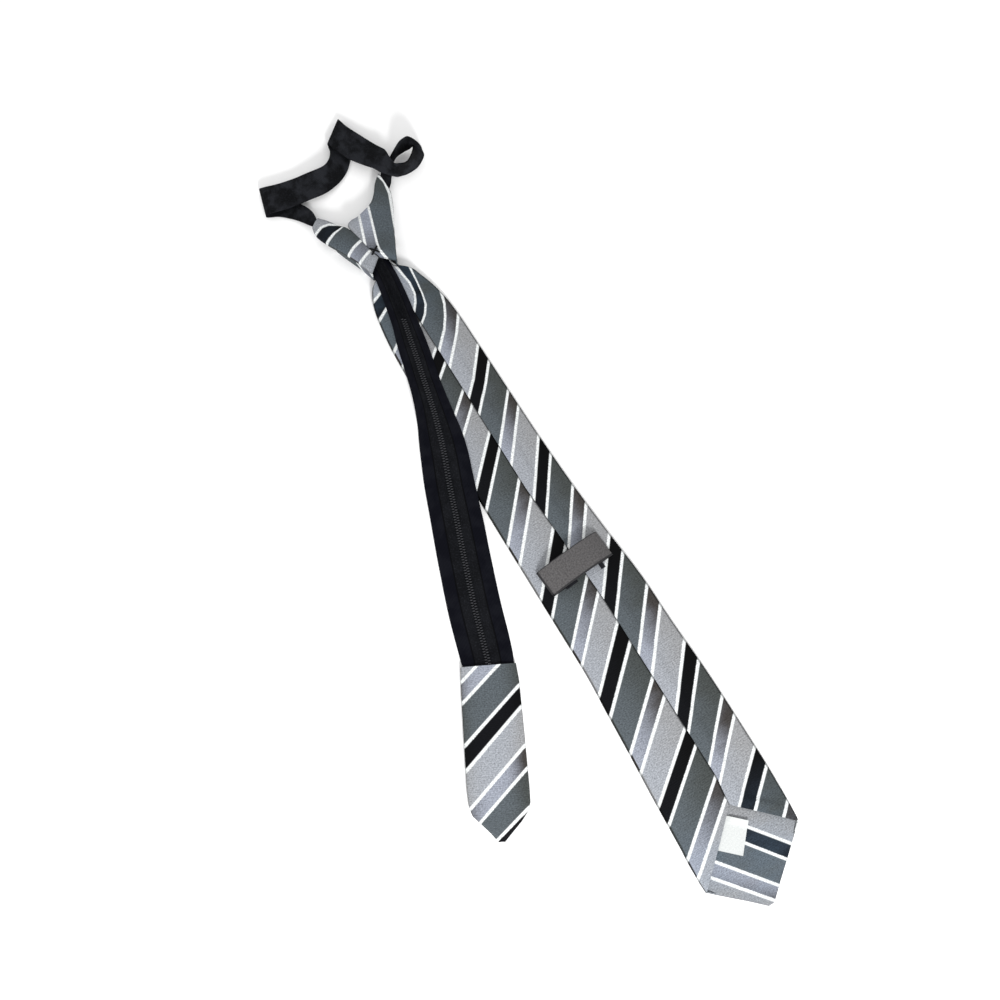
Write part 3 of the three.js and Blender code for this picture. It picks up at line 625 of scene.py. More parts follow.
@dataclass
class Blade:
    """The main blade: a folded envelope with two back flaps, open at its pointed tip."""

    tip_y: float = -31.0
    length: float = 540.0
    width: float = 80.0
    wall: float = 0.9
    cad_wall: float = 1.0
    radius: float = 1.3
    hem: float = 0.4
    overlap: float = 8.0
    open_top: tuple[float, float] = (2.0, 38.0)
    left_corner_y: float = -1.0
    right_corner_y: float = 5.0
    knot_thickness: float = 17.5
    raised: float = 1.3
    sections: Table = (
        (0.003, -0.285, -0.165, 0.0), (0.02, -0.53, 0.12, 0.0), (0.039, -0.82, 0.455, 0.0),
        (0.056, -1.075, 0.745, 0.0), (0.067, -1.08, 0.935, 0.0), (0.08, -1.075, 0.95, 0.0),
        (0.096, -1.07, 0.965, 0.0), (0.113, -1.05, 0.975, 0.0), (0.128, -1.04, 0.985, 0.0),
        (0.15, -1.025, 0.995, 0.0), (0.187, -1.0, 1.0, 0.0), (0.243, -0.95, 1.005, 0.0),
        (0.298, -0.91, 0.995, 0.0), (0.354, -0.865, 0.965, 0.0), (0.428, -0.862, 0.95, 0.0),
        (0.502, -0.862, 0.87, 0.0), (0.576, -0.86, 0.8, 0.0), (0.669, -0.845, 0.755, 0.0),
        (0.761, -0.82, 0.74, 0.0), (0.835, -0.795, 0.73, 0.0), (0.891, -0.76, 0.715, 0.0),
        (0.919, -0.72, 0.68, 0.01), (0.946, -0.66, 0.6, 0.04), (0.965, -0.585, 0.51, 0.08),
        (0.983, -0.44, 0.4, 0.14), (0.992, -0.29, 0.26, 0.15), (1.0, -0.27, 0.18, 0.15),
        (1.03, -0.22, 0.16, 0.15),
    )
    right_lines: tuple[StripeLine, ...] = (
        StripeLine(-1.0, ((4, 520), (5.5, 511), (7.6, 496), (9, 488), (8, 478), (5, 472), (0.4, 466))),
        StripeLine(-0.818, ((15.4, 511), (15.4, 499), (14.2, 487), (12.7, 476), (10.4, 466), (5.8, 459),
                            (-0.6, 453.6))),
        StripeLine(-0.491, ((29, 495), (25.8, 469.6), (23.3, 460), (18.7, 450.5), (11.7, 440), (0.4, 427.6))),
        StripeLine(0.0, ((29.4, 418.6), (19.4, 405.4), (10, 393.3), (0, 382.8))),
        StripeLine(0.509, ((20, 362.3), (0, 337.5))),
        StripeLine(1.0, ((20, 317.2), (0, 289))),
        StripeLine(1.509, ((20, 269.4), (0, 241.5))),
        StripeLine(2.0, ((20, 221.8), (0, 196.4))),
        StripeLine(2.509, ((20, 173.6), (0, 149.8))),
        StripeLine(3.0, ((20, 125.7), (0, 102.2))),
        StripeLine(3.509, ((20, 81.7), (0, 61.7))),
        StripeLine(4.0, ((20, 44.8), (0, 27.9))),
        StripeLine(4.182, ((20, 30.1), (0, 13.1))),
    )
    left_lines: tuple[StripeLine, ...] = (
        StripeLine(0.0, ((-22.7, 488.9), (-15.6, 492))),
        StripeLine(0.182, ((-26.7, 472.9), (-16.6, 479.1))),
        StripeLine(0.509, ((-30.7, 443.8), (-25.1, 448.3))),
        StripeLine(1.509, ((-15, 377), (-30, 363.1))),
        StripeLine(2.0, ((-15, 336.4), (-30, 320.6))),
        StripeLine(2.509, ((-15, 291.9), (-30, 274.3))),
        StripeLine(3.0, ((0.9, 263.7), (-34, 223.7))),
        StripeLine(4.0, ((-15, 164), (-30, 149.7))),
        StripeLine(5.0, ((-15, 80.7), (-30, 69.1))),
        StripeLine(5.509, ((-15, 43.2), (-30, 31.8))),
        StripeLine(5.686, ((-15, 29.5), (-30, 18.3))),
    )

    def edges(self, y: Any) -> tuple[np.ndarray, np.ndarray, np.ndarray]:
        """Left edge, right edge and lift of the blade at a height along it."""
        along = (np.asarray(y, float) - self.tip_y) / self.length
        corner = along < 0.08
        found = []
        for column in (1, 2, 3):
            straight = read_straight(self.sections, along, column)
            smooth = read_smooth(self.sections, along, column)
            found.append(np.where(corner, straight, smooth))
        left, right, lift = found
        return left * self.width / 2.0, right * self.width / 2.0, lift * self.knot_thickness

    def seam(self, y: Any) -> np.ndarray:
        """Where the right flap's edge lies over the left flap."""
        bend = np.interp(y, (44.0, 58.0, 200.0, 264.0, 300.0, 360.0), (3.0, 5.0, 5.0, 2.0, 0.0, 0.0))
        return np.where(np.asarray(y) < 44.0, 2.0 + smoothstep(36.0, 44.0, y), bend)

    def fold_radius(self, y: Any) -> np.ndarray:
        """Radius of the folded edges, which are pressed flat at the tip."""
        return 0.5 + (self.radius - 0.5) * smoothstep(-6.0, 36.0, y)

    @property
    def flap_top(self) -> float:
        """Height of the left flap's upper face."""
        return self.cad_wall + 2.0 * self.radius

    def heights(self) -> np.ndarray:
        """Places along the blade at which its section is made."""
        keys = [self.tip_y + row[0] * self.length for row in self.sections]
        corners = [key for key in keys if key < 12.0]
        regular = list(np.arange(12.0, 525.0, 2.8))
        tip = list(np.arange(self.tip_y + 3.0, 12.0, 1.6))
        return np.array(sorted(set(np.round(corners + tip + regular + [keys[-1]], 2))))

    def section(self, y: float) -> tuple[np.ndarray, list[str]]:
        """One section of the envelope.

        Args:
            y: Place along the blade in millimetres.

        Returns:
            The section's x and z values, and which face each belongs to.
        """
        left, right, lift = (float(v) for v in self.edges(y))
        seam = float(self.seam(y))
        radius = float(self.fold_radius(y))
        inset = radius + self.cad_wall / 2.0
        low, high = left + inset, right - inset
        open_left = (y - self.left_corner_y) / (self.open_top[1] - self.left_corner_y)
        open_right = (y - self.right_corner_y) / (self.open_top[1] - self.right_corner_y)
        over = self.overlap * float(smoothstep(self.open_top[1], self.open_top[1] + 24.0, y))
        left_end = seam + over if open_left >= 1 else low + (seam - low) * max(open_left, 0.0)
        right_end = seam if open_right >= 1 else high + (seam - high) * max(open_right, 0.0)
        flap_left = min(max(left_end, low + self.hem), high - self.hem)
        flap_right = max(min(right_end, high - self.hem), low + self.hem)
        raised = self.raised * float(smoothstep(self.right_corner_y, self.open_top[1] - 4.0, y))
        flat = self.cad_wall / 2.0
        top = flat + 2.0 * radius
        loose = 2.0 * (self.radius - radius)
        places: list[tuple[float, float]] = []
        faces: list[str] = []

        def add(points: Sequence[tuple[float, float]], face: str) -> None:
            """Adds points of one face."""
            places.extend(points)
            faces.extend([face] * len(points))

        reach = flap_left - low
        under = min(max((flap_left - seam) / reach, 0.02), 0.5)
        near = under + min(1.5 / reach, 0.1)
        shares = np.concatenate([np.linspace(0.0, under, 4), np.linspace(near, 1.0, 12)])
        bulge = 0.45 * float(smoothstep(60.0, 110.0, y) * (1.0 - smoothstep(420.0, 470.0, y)))
        for share in shares:
            x = flap_left + (low - flap_left) * share
            swell = loose * float(smoothstep(0.0, 3.0, x - low)) + bulge * math.sin(math.pi * share)
            add([(x, top + swell)], "left")
        turns = np.linspace(0.5, 1.5, 8)[1:-1] * math.pi
        middle = flat + radius
        add([(low + radius * math.cos(t), middle + radius * math.sin(t)) for t in turns], "left fold")
        add([(low + (high - low) * s, flat) for s in np.linspace(0.0, 1.0, 20)], "panel")
        turns = np.linspace(-0.5, 0.5, 8)[1:-1] * math.pi
        add([(high + radius * math.cos(t), middle + radius * math.sin(t)) for t in turns], "right fold")
        step = min(flap_right + self.overlap + 1.5, flap_right + 0.6 * (high - flap_right))
        down = min(step + 4.0, flap_right + 0.85 * (high - flap_right))
        for share in np.linspace(1.0, 0.0, 18):
            x = flap_right + (high - flap_right) * share
            rise = raised * (1.0 - float(smoothstep(step, down, x))) if down > step else raised
            crown = bulge * 0.6 * math.sin(math.pi * share) + loose * float(smoothstep(0.0, 3.0, high - x))
            add([(x, top + rise + crown)], "right")
        section = np.array(places)
        section[:, 1] += lift
        return section, faces

    def build(self) -> Any:
        """Builds the envelope with its stripes.

        Returns:
            The blade's object.
        """
        heights = self.heights()
        found = [self.section(float(y)) for y in heights]
        faces = np.array(found[0][1])
        places = np.array([[(x, y, z) for x, z in section] for y, (section, _) in zip(heights, found)])
        x, y = places[:, :, 0], places[:, :, 1]
        rise = 0.16 * ripple(x, y, 1.0, 70.0) + 0.07 * ripple(x, y, 2.0, 24.0)
        top = np.isin(faces, ["left", "right"])
        shore = np.minimum(1.0, np.minimum(x - x.min(axis=1, keepdims=True),
                                           x.max(axis=1, keepdims=True) - x) / 10.0)
        places[:, top, 2] += (rise * shore)[:, top]
        grid = ClothGrid("blade", places, cloth_map(places), self.counts(places, faces),
                         self.sheens(places, faces), self.wall)
        piece = grid.build(SATIN_MATERIAL)
        declare(piece, "blade_shell", (172.0, 556.0))
        return piece

    def counts(self, places: np.ndarray, faces: np.ndarray) -> np.ndarray:
        """Counts of stripe repeats over the envelope, round its folds and over its front.

        Args:
            places: Grid of points.
            faces: Face of each column.

        Returns:
            The count at each point.
        """
        x, y = places[:, :, 0], places[:, :, 1]
        left, right, _ = (values[:, None] for values in self.edges(y[:, 0]))
        on_left = StripeGuide(self.left_lines, SATIN.repeat)
        on_right = StripeGuide(self.right_lines, SATIN.repeat)
        share = np.clip((right - x) / np.maximum(right - left, 1e-6), 0.0, 1.0)
        shift = 0.95 * (right - left)
        front = (1.0 - share) * on_right.count(np.broadcast_to(right, x.shape), y - share * shift)
        front = front + share * on_left.count(np.broadcast_to(left, x.shape), y + (1.0 - share) * shift)
        result = front
        middle = self.cad_wall / 2.0 + self.fold_radius(y)
        upper = places[:, :, 2] - self.edges(y[:, 0])[2][:, None] > middle
        left_side = np.isin(faces, ["left", "left fold"])[None, :] & upper
        right_side = np.isin(faces, ["right", "right fold"])[None, :] & upper
        result = np.where(left_side, on_left.count(x, y), result)
        result = np.where(right_side, on_right.count(x, y), result)
        hem = (y < np.where(x < 0.0, self.left_corner_y, 0.0)) & (places[:, :, 2] > 0.8)
        return np.where(hem, StripeGuide(TipLining.lines, SATIN.repeat).count(x, y), result)

    def sheens(self, places: np.ndarray, faces: np.ndarray) -> np.ndarray:
        """Share of painted sheen: each back flap shines at its left side and has no sheen at its right side; folded
        edges, and the left flap under the right flap's edge, get painted shade.
        """
        x, y = places[:, :, 0], places[:, :, 1]
        left, right, _ = (values[:, None] for values in self.edges(y[:, 0]))
        seam = self.seam(y)
        on_left = np.clip(1.05 - (x - left) / (seam - left), 0.0, 1.0)
        on_right = np.clip(1.05 - 1.15 * (x - seam) / (right - seam), 0.0, 1.0)
        in_shade = (faces == "left")[None, :] & (x > seam - 0.3) & (y > self.open_top[1])
        result = np.where(np.isin(faces, ["right", "right fold"])[None, :], on_right, on_left)
        # Painted shade along the folded edges, as a sheen share below 0.
        result = np.where(np.isin(faces, ["right fold", "left fold"])[None, :], -0.6, result)
        return np.where(in_shade, -1.0, result)


@dataclass
class TipLining:
    """The striped lining that shows inside the open tip."""

    blade: Blade
    thickness: float = 0.6
    start: float = 1.6
    top_y: float = 62.0
    inset: float = 3.2
    showing: float = 0.8
    lines: tuple[StripeLine, ...] = (
        StripeLine(0.0, ((5.9, 18.3), (26, -7))),
        StripeLine(0.182, ((-1.8, 10.9), (16.8, -12.9))),
        StripeLine(0.509, ((-27.2, 13), (2.9, -23.7))),
        StripeLine(0.686, ((-35.1, 5.8), (-5.4, -29.4))),
    )

    def build(self) -> Any:
        """Builds the lining inside the envelope."""
        rows = []
        extra = self.inset - self.showing
        for y in np.linspace(self.blade.tip_y + self.start, self.top_y, 60):
            left, right, _ = (float(v) for v in self.blade.edges(y))
            middle = (left + right) / 2.0
            low = min(left + self.showing + extra * float(smoothstep(-7.0, 0.0, y)), middle - 0.6)
            high = max(right - self.showing - extra * float(smoothstep(-3.0, 5.0, y)), middle + 0.6)
            z = 2.25 - 0.35 * float(smoothstep(-2.0, 8.0, y))
            rows.append([(low + (high - low) * s, y, z) for s in np.linspace(0.0, 1.0, 34)])
        places = np.array(rows)
        x, y = places[:, :, 0], places[:, :, 1]
        across = np.linspace(-1.0, 1.0, 34)[None, :]
        places[:, :, 2] += 0.08 * ripple(x, y, 3.0, 22.0) * (1.0 - across**4)
        count = StripeGuide(self.lines, SATIN.repeat).count(x, y)
        sheen = np.clip(1.0 - 1.1 * ((y + x * 0.9 + 2.0) / 40.0)**2, 0.0, 1.0)
        piece = ClothGrid("lining", places, cloth_map(places), count, sheen, self.thickness).build(SATIN_MATERIAL)
        declare(piece, "tip_lining", (84.0, 92.0))
        return piece


@dataclass
class SewnLabel:
    """A small woven tab, flat or arched, in a turned frame of its own."""

    name: str
    node: str
    slot: str
    centre: tuple[float, float]
    turn: float
    length: float
    section: tuple[tuple[float, float], ...]
    base: float
    thickness: float
    curl: float
    rests_on: str
    raised_end: float = 0.0

    def build(self, material: Any) -> Any:
        """Builds the tab from its section, swept along its own Y."""
        section = np.array(self.section)
        steps = np.concatenate([[0.0], np.cumsum(np.hypot(*np.diff(section, axis=0).T))])
        fine = np.linspace(0.0, steps[-1], max(24, int(steps[-1] / 0.9)))
        keys = np.column_stack([steps, section])
        across, heights = read_smooth(keys, fine, 1), read_smooth(keys, fine, 2)
        along = np.linspace(-0.5, 0.5, 22) * self.length
        cos, sin = math.cos(self.turn), math.sin(self.turn)
        rows = []
        for y in along:
            lift = self.curl * (np.abs(across) / np.abs(across).max()) ** 4 * (2 * abs(y) / self.length) ** 4
            lift = lift + self.raised_end * smoothstep(0.25, 0.5, y / self.length) * smoothstep(-7.0, -2.0, across)
            rows.append(np.stack([self.centre[0] + across * cos - y * sin,
                                  self.centre[1] + across * sin + y * cos,
                                  self.base + heights + lift], axis=1))
        places = np.array(rows)
        piece = ClothGrid(self.name, places, cloth_map(places), thickness=self.thickness).build(material)
        declare(piece, self.node, (float(steps[-1]), self.length))
        return piece


@dataclass
class KnotSleeve:
    """One arm of the knot: a flattened tube of striped satin."""

    name: str
    node: str
    rows: Table
    lines: tuple[StripeLine, ...]
    seed: float
    bottom_y: float = 506.0
    height: float = 40.0
    width: float = 52.0
    knot: float = 17.5
    thickness: float = 4.8
    wall: float = 0.9

    def build(self) -> Any:
        """Builds the tube, with soft folds along it."""
        keys = [(float(i),) + row for i, row in enumerate(self.rows)]
        grid, folds = [], []
        for at in np.linspace(0.0, len(self.rows) - 1.0, 48):
            outer_x, outer_y, inner_x, inner_y, base = (float(read_smooth(keys, at, c)) for c in range(1, 6))
            outer = np.array([outer_x * self.width, self.bottom_y + outer_y * self.height])
            inner = np.array([inner_x * self.width, self.bottom_y + inner_y * self.height])
            span = float(np.hypot(*(inner - outer)))
            closing = float(smoothstep(len(self.rows) - 1.7, len(self.rows) - 1.0, at))
            thick = self.thickness * (1.0 - 0.62 * closing)
            section = self.tube(span, base * self.knot + 0.1 * self.thickness * closing, thick)
            share = section[:, :1] / span
            folds.append(np.minimum(section[:, 0], span - section[:, 0]) < 0.7)
            grid.append(np.hstack([outer + (inner - outer) * share, section[:, 1:]]))
        places = np.array(grid)
        x, y = places[:, :, 0], places[:, :, 1]
        top = places[:, :, 2] > places[:, :, 2].mean(axis=1, keepdims=True)
        places[:, :, 2] += np.where(top, 0.25 * ripple(x, y, self.seed, 26.0), 0.0)
        places[:, -1] = places[:, 0]
        count = StripeGuide(self.lines, SATIN.repeat).count(x, y)
        count[:, -1] = count[:, 0]
        sheen = np.clip(0.6 + 0.5 * ripple(x, y, self.seed + 0.4, 60.0), 0.0, 1.0)
        # Painted shade along the tube's folded edges, as a sheen share below 0.
        sheen = np.where(np.array(folds), -0.35, sheen)
        sheen[:, -1] = sheen[:, 0]
        grid = ClothGrid(self.name, places, cloth_map(places), count, sheen, self.wall, Rim.CLOSED)
        piece = grid.build(SATIN_MATERIAL)
        across = float(lengths(places, 1)[:, -1].mean())
        along = float(lengths(places, 0)[-1].mean())
        declare(piece, self.node, (across, along))
        return piece

    def tube(self, span: float, base: float, thickness: float) -> np.ndarray:
        """Section of a flattened tube from 0 to span that rests at base, closed on itself."""
        radius = min((thickness - self.wall) / 2.0, span / 2.2 - self.wall / 2.0)
        inset = radius + self.wall / 2.0
        floor = base + self.wall / 2.0
        low, high = inset, span - inset
        points = [(low + (high - low) * s, floor) for s in np.linspace(0.0, 1.0, 12)]
        turns = np.linspace(-0.5, 0.5, 9)[1:-1] * math.pi
        points += [(high + radius * math.cos(t), floor + radius + radius * math.sin(t)) for t in turns]
        points += [(high - (high - low) * s, floor + 2 * radius + 0.5 * math.sin(math.pi * s))
                   for s in np.linspace(0.0, 1.0, 16)]
        turns = np.linspace(0.5, 1.5, 9)[1:-1] * math.pi
        points += [(low + radius * math.cos(t), floor + radius + radius * math.sin(t)) for t in turns]
        points.append(points[0])
        return np.array(points)


@dataclass
class KnotWrap:
    """The front wrap of the knot, which lies on the table under the two arms."""

    bottom_y: float = 506.0
    height: float = 40.0
    width: float = 52.0
    rim: float = 11.6
    wall: float = 0.9
    radius: float = 3.0
    rows: Table = ((0.0, -0.27, 0.16, 1.0), (0.3, -0.34, 0.26, 0.93), (0.6, -0.43, 0.37, 0.76),
                   (0.85, -0.5, 0.46, 0.58), (1.0, -0.53, 0.5, 0.5))
    lines: tuple[StripeLine, ...] = (
        StripeLine(0.0, ((-20, 552), (20, 532))),
        StripeLine(1.0, ((-20, 486), (20, 466))),
    )

    def build(self) -> Any:
        """Builds the open trough of cloth."""
        rows = []
        flat = 0.5
        for along in np.linspace(0.0, 1.0, 26):
            low = float(read_smooth(self.rows, along, 1)) * self.width + flat
            high = float(read_smooth(self.rows, along, 2)) * self.width - flat
            top = float(read_smooth(self.rows, along, 3)) * self.rim
            y = self.bottom_y + along * self.height
            row = [(low, z) for z in np.linspace(top, self.radius + flat, 8)]
            turns = np.linspace(1.0, 1.5, 7)[1:-1] * math.pi
            row += [(low + self.radius + self.radius * math.cos(t),
                     flat + self.radius + self.radius * math.sin(t)) for t in turns]
            row += [(x, flat) for x in np.linspace(low + self.radius, high - self.radius, 14)]
            turns = np.linspace(-0.5, 0.0, 7)[1:-1] * math.pi
            row += [(high - self.radius + self.radius * math.cos(t),
                     flat + self.radius + self.radius * math.sin(t)) for t in turns]
            row += [(high, z) for z in np.linspace(self.radius + flat, top, 8)]
            rows.append([(x, y, z) for x, z in row])
        places = np.array(rows)
        map_xy = cloth_map(places)
        count = StripeGuide(self.lines, SATIN.repeat).count(map_xy[:, :, 0], places[:, :, 1])
        piece = ClothGrid("front_wrap", places, map_xy, count, 0.4, self.wall).build(SATIN_MATERIAL)
        across = float(lengths(places, 1)[:, -1].mean())
        declare(piece, "knot_wrap", (across, self.height))
        return piece


@dataclass
class NeckBand:
    """The black ribbon around the neck, which folds twice, curls and enters the right arm."""

    span: float = 140.0
    depth: float = 90.0
    rise: float = 20.0
    start_y: float = 558.0
    thickness: float = 1.0
    route: Table = (
        (-0.224, 0.039, 0.38, -0.171, 0.072, 0.38), (-0.23, 0.114, 0.31, -0.193, 0.157, 0.31),
        (-0.249, 0.17, 0.24, -0.189, 0.241, 0.27), (-0.289, 0.28, 0.1, -0.215, 0.37, 0.2),
        (-0.35, 0.384, 0.05, -0.275, 0.49, 0.1), (-0.395, 0.425, 0.05, -0.335, 0.6, 0.06),
        (-0.426, 0.437, 0.16, -0.378, 0.713, 0.17), (-0.405, 0.43, 0.32, -0.349, 0.684, 0.32),
        (-0.32, 0.395, 0.36, -0.28, 0.65, 0.34), (-0.21, 0.37, 0.36, -0.19, 0.625, 0.34),
        (-0.09, 0.365, 0.26, -0.1, 0.605, 0.4), (0.017, 0.404, 0.12, -0.015, 0.58, 0.5),
        (0.086, 0.46, 0.06, 0.045, 0.615, 0.5), (0.137, 0.529, 0.05, 0.078, 0.69, 0.4),
        (0.2, 0.66, 0.07, 0.087, 0.76, 0.24), (0.227, 0.912, 0.07, 0.092, 0.785, 0.16),
        (0.226, 0.974, 0.2, 0.096, 0.79, 0.3), (0.237, 0.838, 0.42, 0.105, 0.68, 0.46),
        (0.275, 0.69, 0.46, 0.145, 0.53, 0.48), (0.315, 0.53, 0.55, 0.19, 0.42, 0.5),
        (0.345, 0.4, 0.7, 0.235, 0.32, 0.55), (0.343, 0.344, 0.72, 0.259, 0.259, 0.5),
        (0.337, 0.236, 0.88, 0.315, 0.217, 0.2), (0.362, 0.193, 0.95, 0.351, 0.2, 0.075),
        (0.398, 0.175, 0.95, 0.404, 0.185, 0.075), (0.43, 0.197, 0.95, 0.463, 0.195, 0.075),
        (0.457, 0.236, 0.9, 0.511, 0.233, 0.09), (0.483, 0.295, 0.72, 0.539, 0.272, 0.22),
        (0.497, 0.355, 0.45, 0.533, 0.299, 0.6), (0.481, 0.38, 0.2, 0.511, 0.337, 0.9),
        (0.448, 0.396, 0.08, 0.479, 0.396, 0.95), (0.409, 0.391, 0.07, 0.434, 0.392, 0.9),
        (0.375, 0.366, 0.07, 0.395, 0.388, 0.62), (0.351, 0.322, 0.07, 0.361, 0.384, 0.35),
        (0.331, 0.267, 0.1, 0.328, 0.352, 0.2), (0.302, 0.203, 0.21, 0.275, 0.307, 0.21),
        (0.279, 0.149, 0.255, 0.248, 0.257, 0.255), (0.245, 0.1, 0.29, 0.22, 0.202, 0.28),
        (0.229, 0.082, 0.335, 0.175, 0.113, 0.335), (0.199, 0.004, 0.4, 0.138, 0.031, 0.4),
    )

    def build(self, material: Any) -> Any:
        """Builds the ribbon, ruled between its two smooth edges."""
        keys = [(float(i),) + row for i, row in enumerate(self.route)]
        at = np.linspace(0.0, len(self.route) - 1.0, 176)
        edge = [read_smooth(keys, at, column) for column in range(1, 7)]
        near, far = (np.stack([edge[i] * self.span, self.start_y + edge[i + 1] * self.depth,
                               edge[i + 2] * self.rise], axis=1) for i in (0, 3))
        shares = np.linspace(0.0, 1.0, 12)[None, :, None]
        places = near[:, None] + (far - near)[:, None] * shares
        piece = ClothGrid("neck_ribbon", places, cloth_map(places), thickness=self.thickness).build(material)
        across = float(lengths(places, 1)[:, -1].mean())
        along = float(lengths(places, 0)[-1].mean())
        declare(piece, "neck_band", (across, along))
        return piece


@dataclass
class ZipperStrip:
    """The zipper: two halves of black tape and the closed coil between them."""

    blade: Blade
    width: float = 38.5
    run: float = 340.0
    reach: float = 93.0
    top_y: float = 532.0
    end: float = 0.99
    wall: float = 0.9
    slit: float = 0.1
    gather_height: float = 3.6
    drape: float = 11.0
    coil_start: float = 0.2
    coil_end: float = 0.965
    tooth_pitch: float = 1.9
    tooth_reach: float = 2.0
    route: Table = (
        (0.0, 0.03, 0.4, 0.7), (0.06, 0.045, 0.41, 0.75), (0.1, 0.055, 0.44, 0.9), (0.15, 0.08, 0.48, 1.0),
        (0.21, 0.12, 0.51, 0.95), (0.26, 0.16, 0.58, 0.85), (0.31, 0.2, 0.6, 0.7), (0.35, 0.235, 0.61, 0.55),
        (0.39, 0.268, 0.64, 0.4), (0.44, 0.315, 0.74, 0.25), (0.49, 0.37, 0.87, 0.12), (0.53, 0.42, 0.93, 0.0),
        (0.58, 0.49, 0.96, 0.0), (0.65, 0.58, 0.98, 0.0), (0.75, 0.71, 1.0, 0.0), (0.85, 0.835, 1.0, 0.0),
        (0.95, 0.945, 0.97, 0.0), (0.965, 0.965, 0.95, 0.0), (0.99, 1.01, 0.93, 0.0),
    )

    def frame_at(self, down: float) -> tuple[np.ndarray, np.ndarray, float, float]:
        """Coil point, direction across, squeeze and gather at a share of the run."""
        def place(at: float) -> np.ndarray:
            """Point of the coil line."""
            return np.array([-float(read_smooth(self.route, at, 1)) * self.reach, self.top_y - at * self.run])

        ahead = place(min(down + 0.02, self.end)) - place(max(down - 0.02, 0.0))
        ahead = ahead / np.hypot(*ahead)
        across = np.array([-ahead[1], ahead[0]])
        squeeze, gather = (float(read_smooth(self.route, down, column)) for column in (2, 3))
        return place(down), across, squeeze, gather

    def rest(self, x: float, y: float, down: float) -> float:
        """Height on which the strip rests."""
        left, _, lift = (float(v) for v in self.blade.edges(y))
        over_blade = float(smoothstep(left - self.drape, left - 2.0, x))
        over_seam = float(smoothstep(-10.0, -3.0, x))
        back = self.blade.flap_top + (self.blade.cad_wall + 0.3) * over_seam + 0.3 + lift
        in_tail = 1.3 * float(smoothstep(0.93, 0.962, down))
        return max(back * over_blade, in_tail)

    def point(self, down: float, side: float) -> tuple[float, float, float]:
        """Point on the middle of the strip's cloth, with side from -1 to 1 across it."""
        centre, across, squeeze, gather = self.frame_at(down)
        spot = centre + across * side * squeeze * self.width / 2.0
        ridge = gather * self.gather_height * math.sin(math.pi * abs(side)) ** 2
        return float(spot[0]), float(spot[1]), self.rest(spot[0], spot[1], down) + 0.5 + ridge

    def build(self, material: Any, nylon: Any) -> None:
        """Builds both halves of the tape and the coil."""
        for name, node, side in (("left_tape", "tape_left", 1.0), ("right_tape", "tape_right", -1.0)):
            rows = []
            for down in np.linspace(0.0, self.end, 130):
                slit = self.slit / (self.frame_at(down)[2] * self.width)
                rows.append([self.point(down, side * s) for s in np.linspace(slit, 1.0, 22)])
            places = np.array(rows)
            x, y = places[:, :, 0], places[:, :, 1]
            places[:, :, 2] += 0.12 * (1.0 + ripple(x, y, 5.0 + side, 34.0))
            cloth = cloth_map(places)
            cloth[:, :, 0] = np.linspace(0.0, self.width / 2.0, 22)[None, :] * side
            piece = ClothGrid(name, places, cloth, thickness=self.wall).build(material)
            along = float(lengths(places, 0)[-1].mean())
            across = float(lengths(places, 1)[:, -1].mean())
            declare(piece, node, (across, along))
        self.build_coil(nylon)

    def build_coil(self, nylon: Any) -> Any:
        """Builds the teeth: one rounded loop, copied down both sides of the coil line."""
        bpy.ops.object.select_all(action="DESELECT")
        bpy.ops.mesh.primitive_cube_add(size=1.0)
        tooth = bpy.context.object
        bpy.ops.object.mode_set(mode="EDIT")
        bpy.ops.mesh.bevel(offset=0.3, segments=2)
        bpy.ops.object.mode_set(mode="OBJECT")
        shape = np.array([v.co for v in tooth.data.vertices])
        faces = [tuple(p.vertices) for p in tooth.data.polygons]
        bpy.data.objects.remove(tooth)
        size = np.array([self.tooth_reach * 1.15, self.tooth_pitch * 0.52, 0.9])
        total = int((self.coil_end - self.coil_start) * self.run / self.tooth_pitch)
        points: list[np.ndarray] = []
        polygons: list[tuple[int, ...]] = []
        for number in range(2 * total):
            side = 1.0 if number % 2 else -1.0
            down = self.coil_start + (self.coil_end - self.coil_start) * (number + 0.5) / (2 * total)
            centre, across, _, _ = self.frame_at(down)
            height = max(self.point(down, s)[2] for s in (-0.12, 0.0, 0.12)) + 1.1 + size[2] / 2.0
            ahead = np.array([-across[1], across[0]])
            local = shape * size
            plan = centre + across * side * self.tooth_reach * 0.52
            spots = plan + local[:, :1] * across + local[:, 1:2] * ahead
            start = len(points) * len(shape)
            points.append(np.hstack([spots, height + local[:, 2:] - 0.25 * np.abs(local[:, :1])]))
            polygons += [tuple(start + index for index in face) for face in faces]
        mesh = bpy.data.meshes.new("coil_teeth")
        mesh.from_pydata([tuple(p) for p in np.vstack(points) * MM], [], polygons)
        mesh.update()
        piece = bpy.data.objects.new("coil_teeth", mesh)
        bpy.context.scene.collection.objects.link(piece)
        mesh.materials.append(nylon)
        for polygon in mesh.polygons:
            polygon.use_smooth = True
        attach(piece, "root")
        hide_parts("zipper_coil")
        LOG.info("%s has %d teeth", piece.name, 2 * total)
        return piece


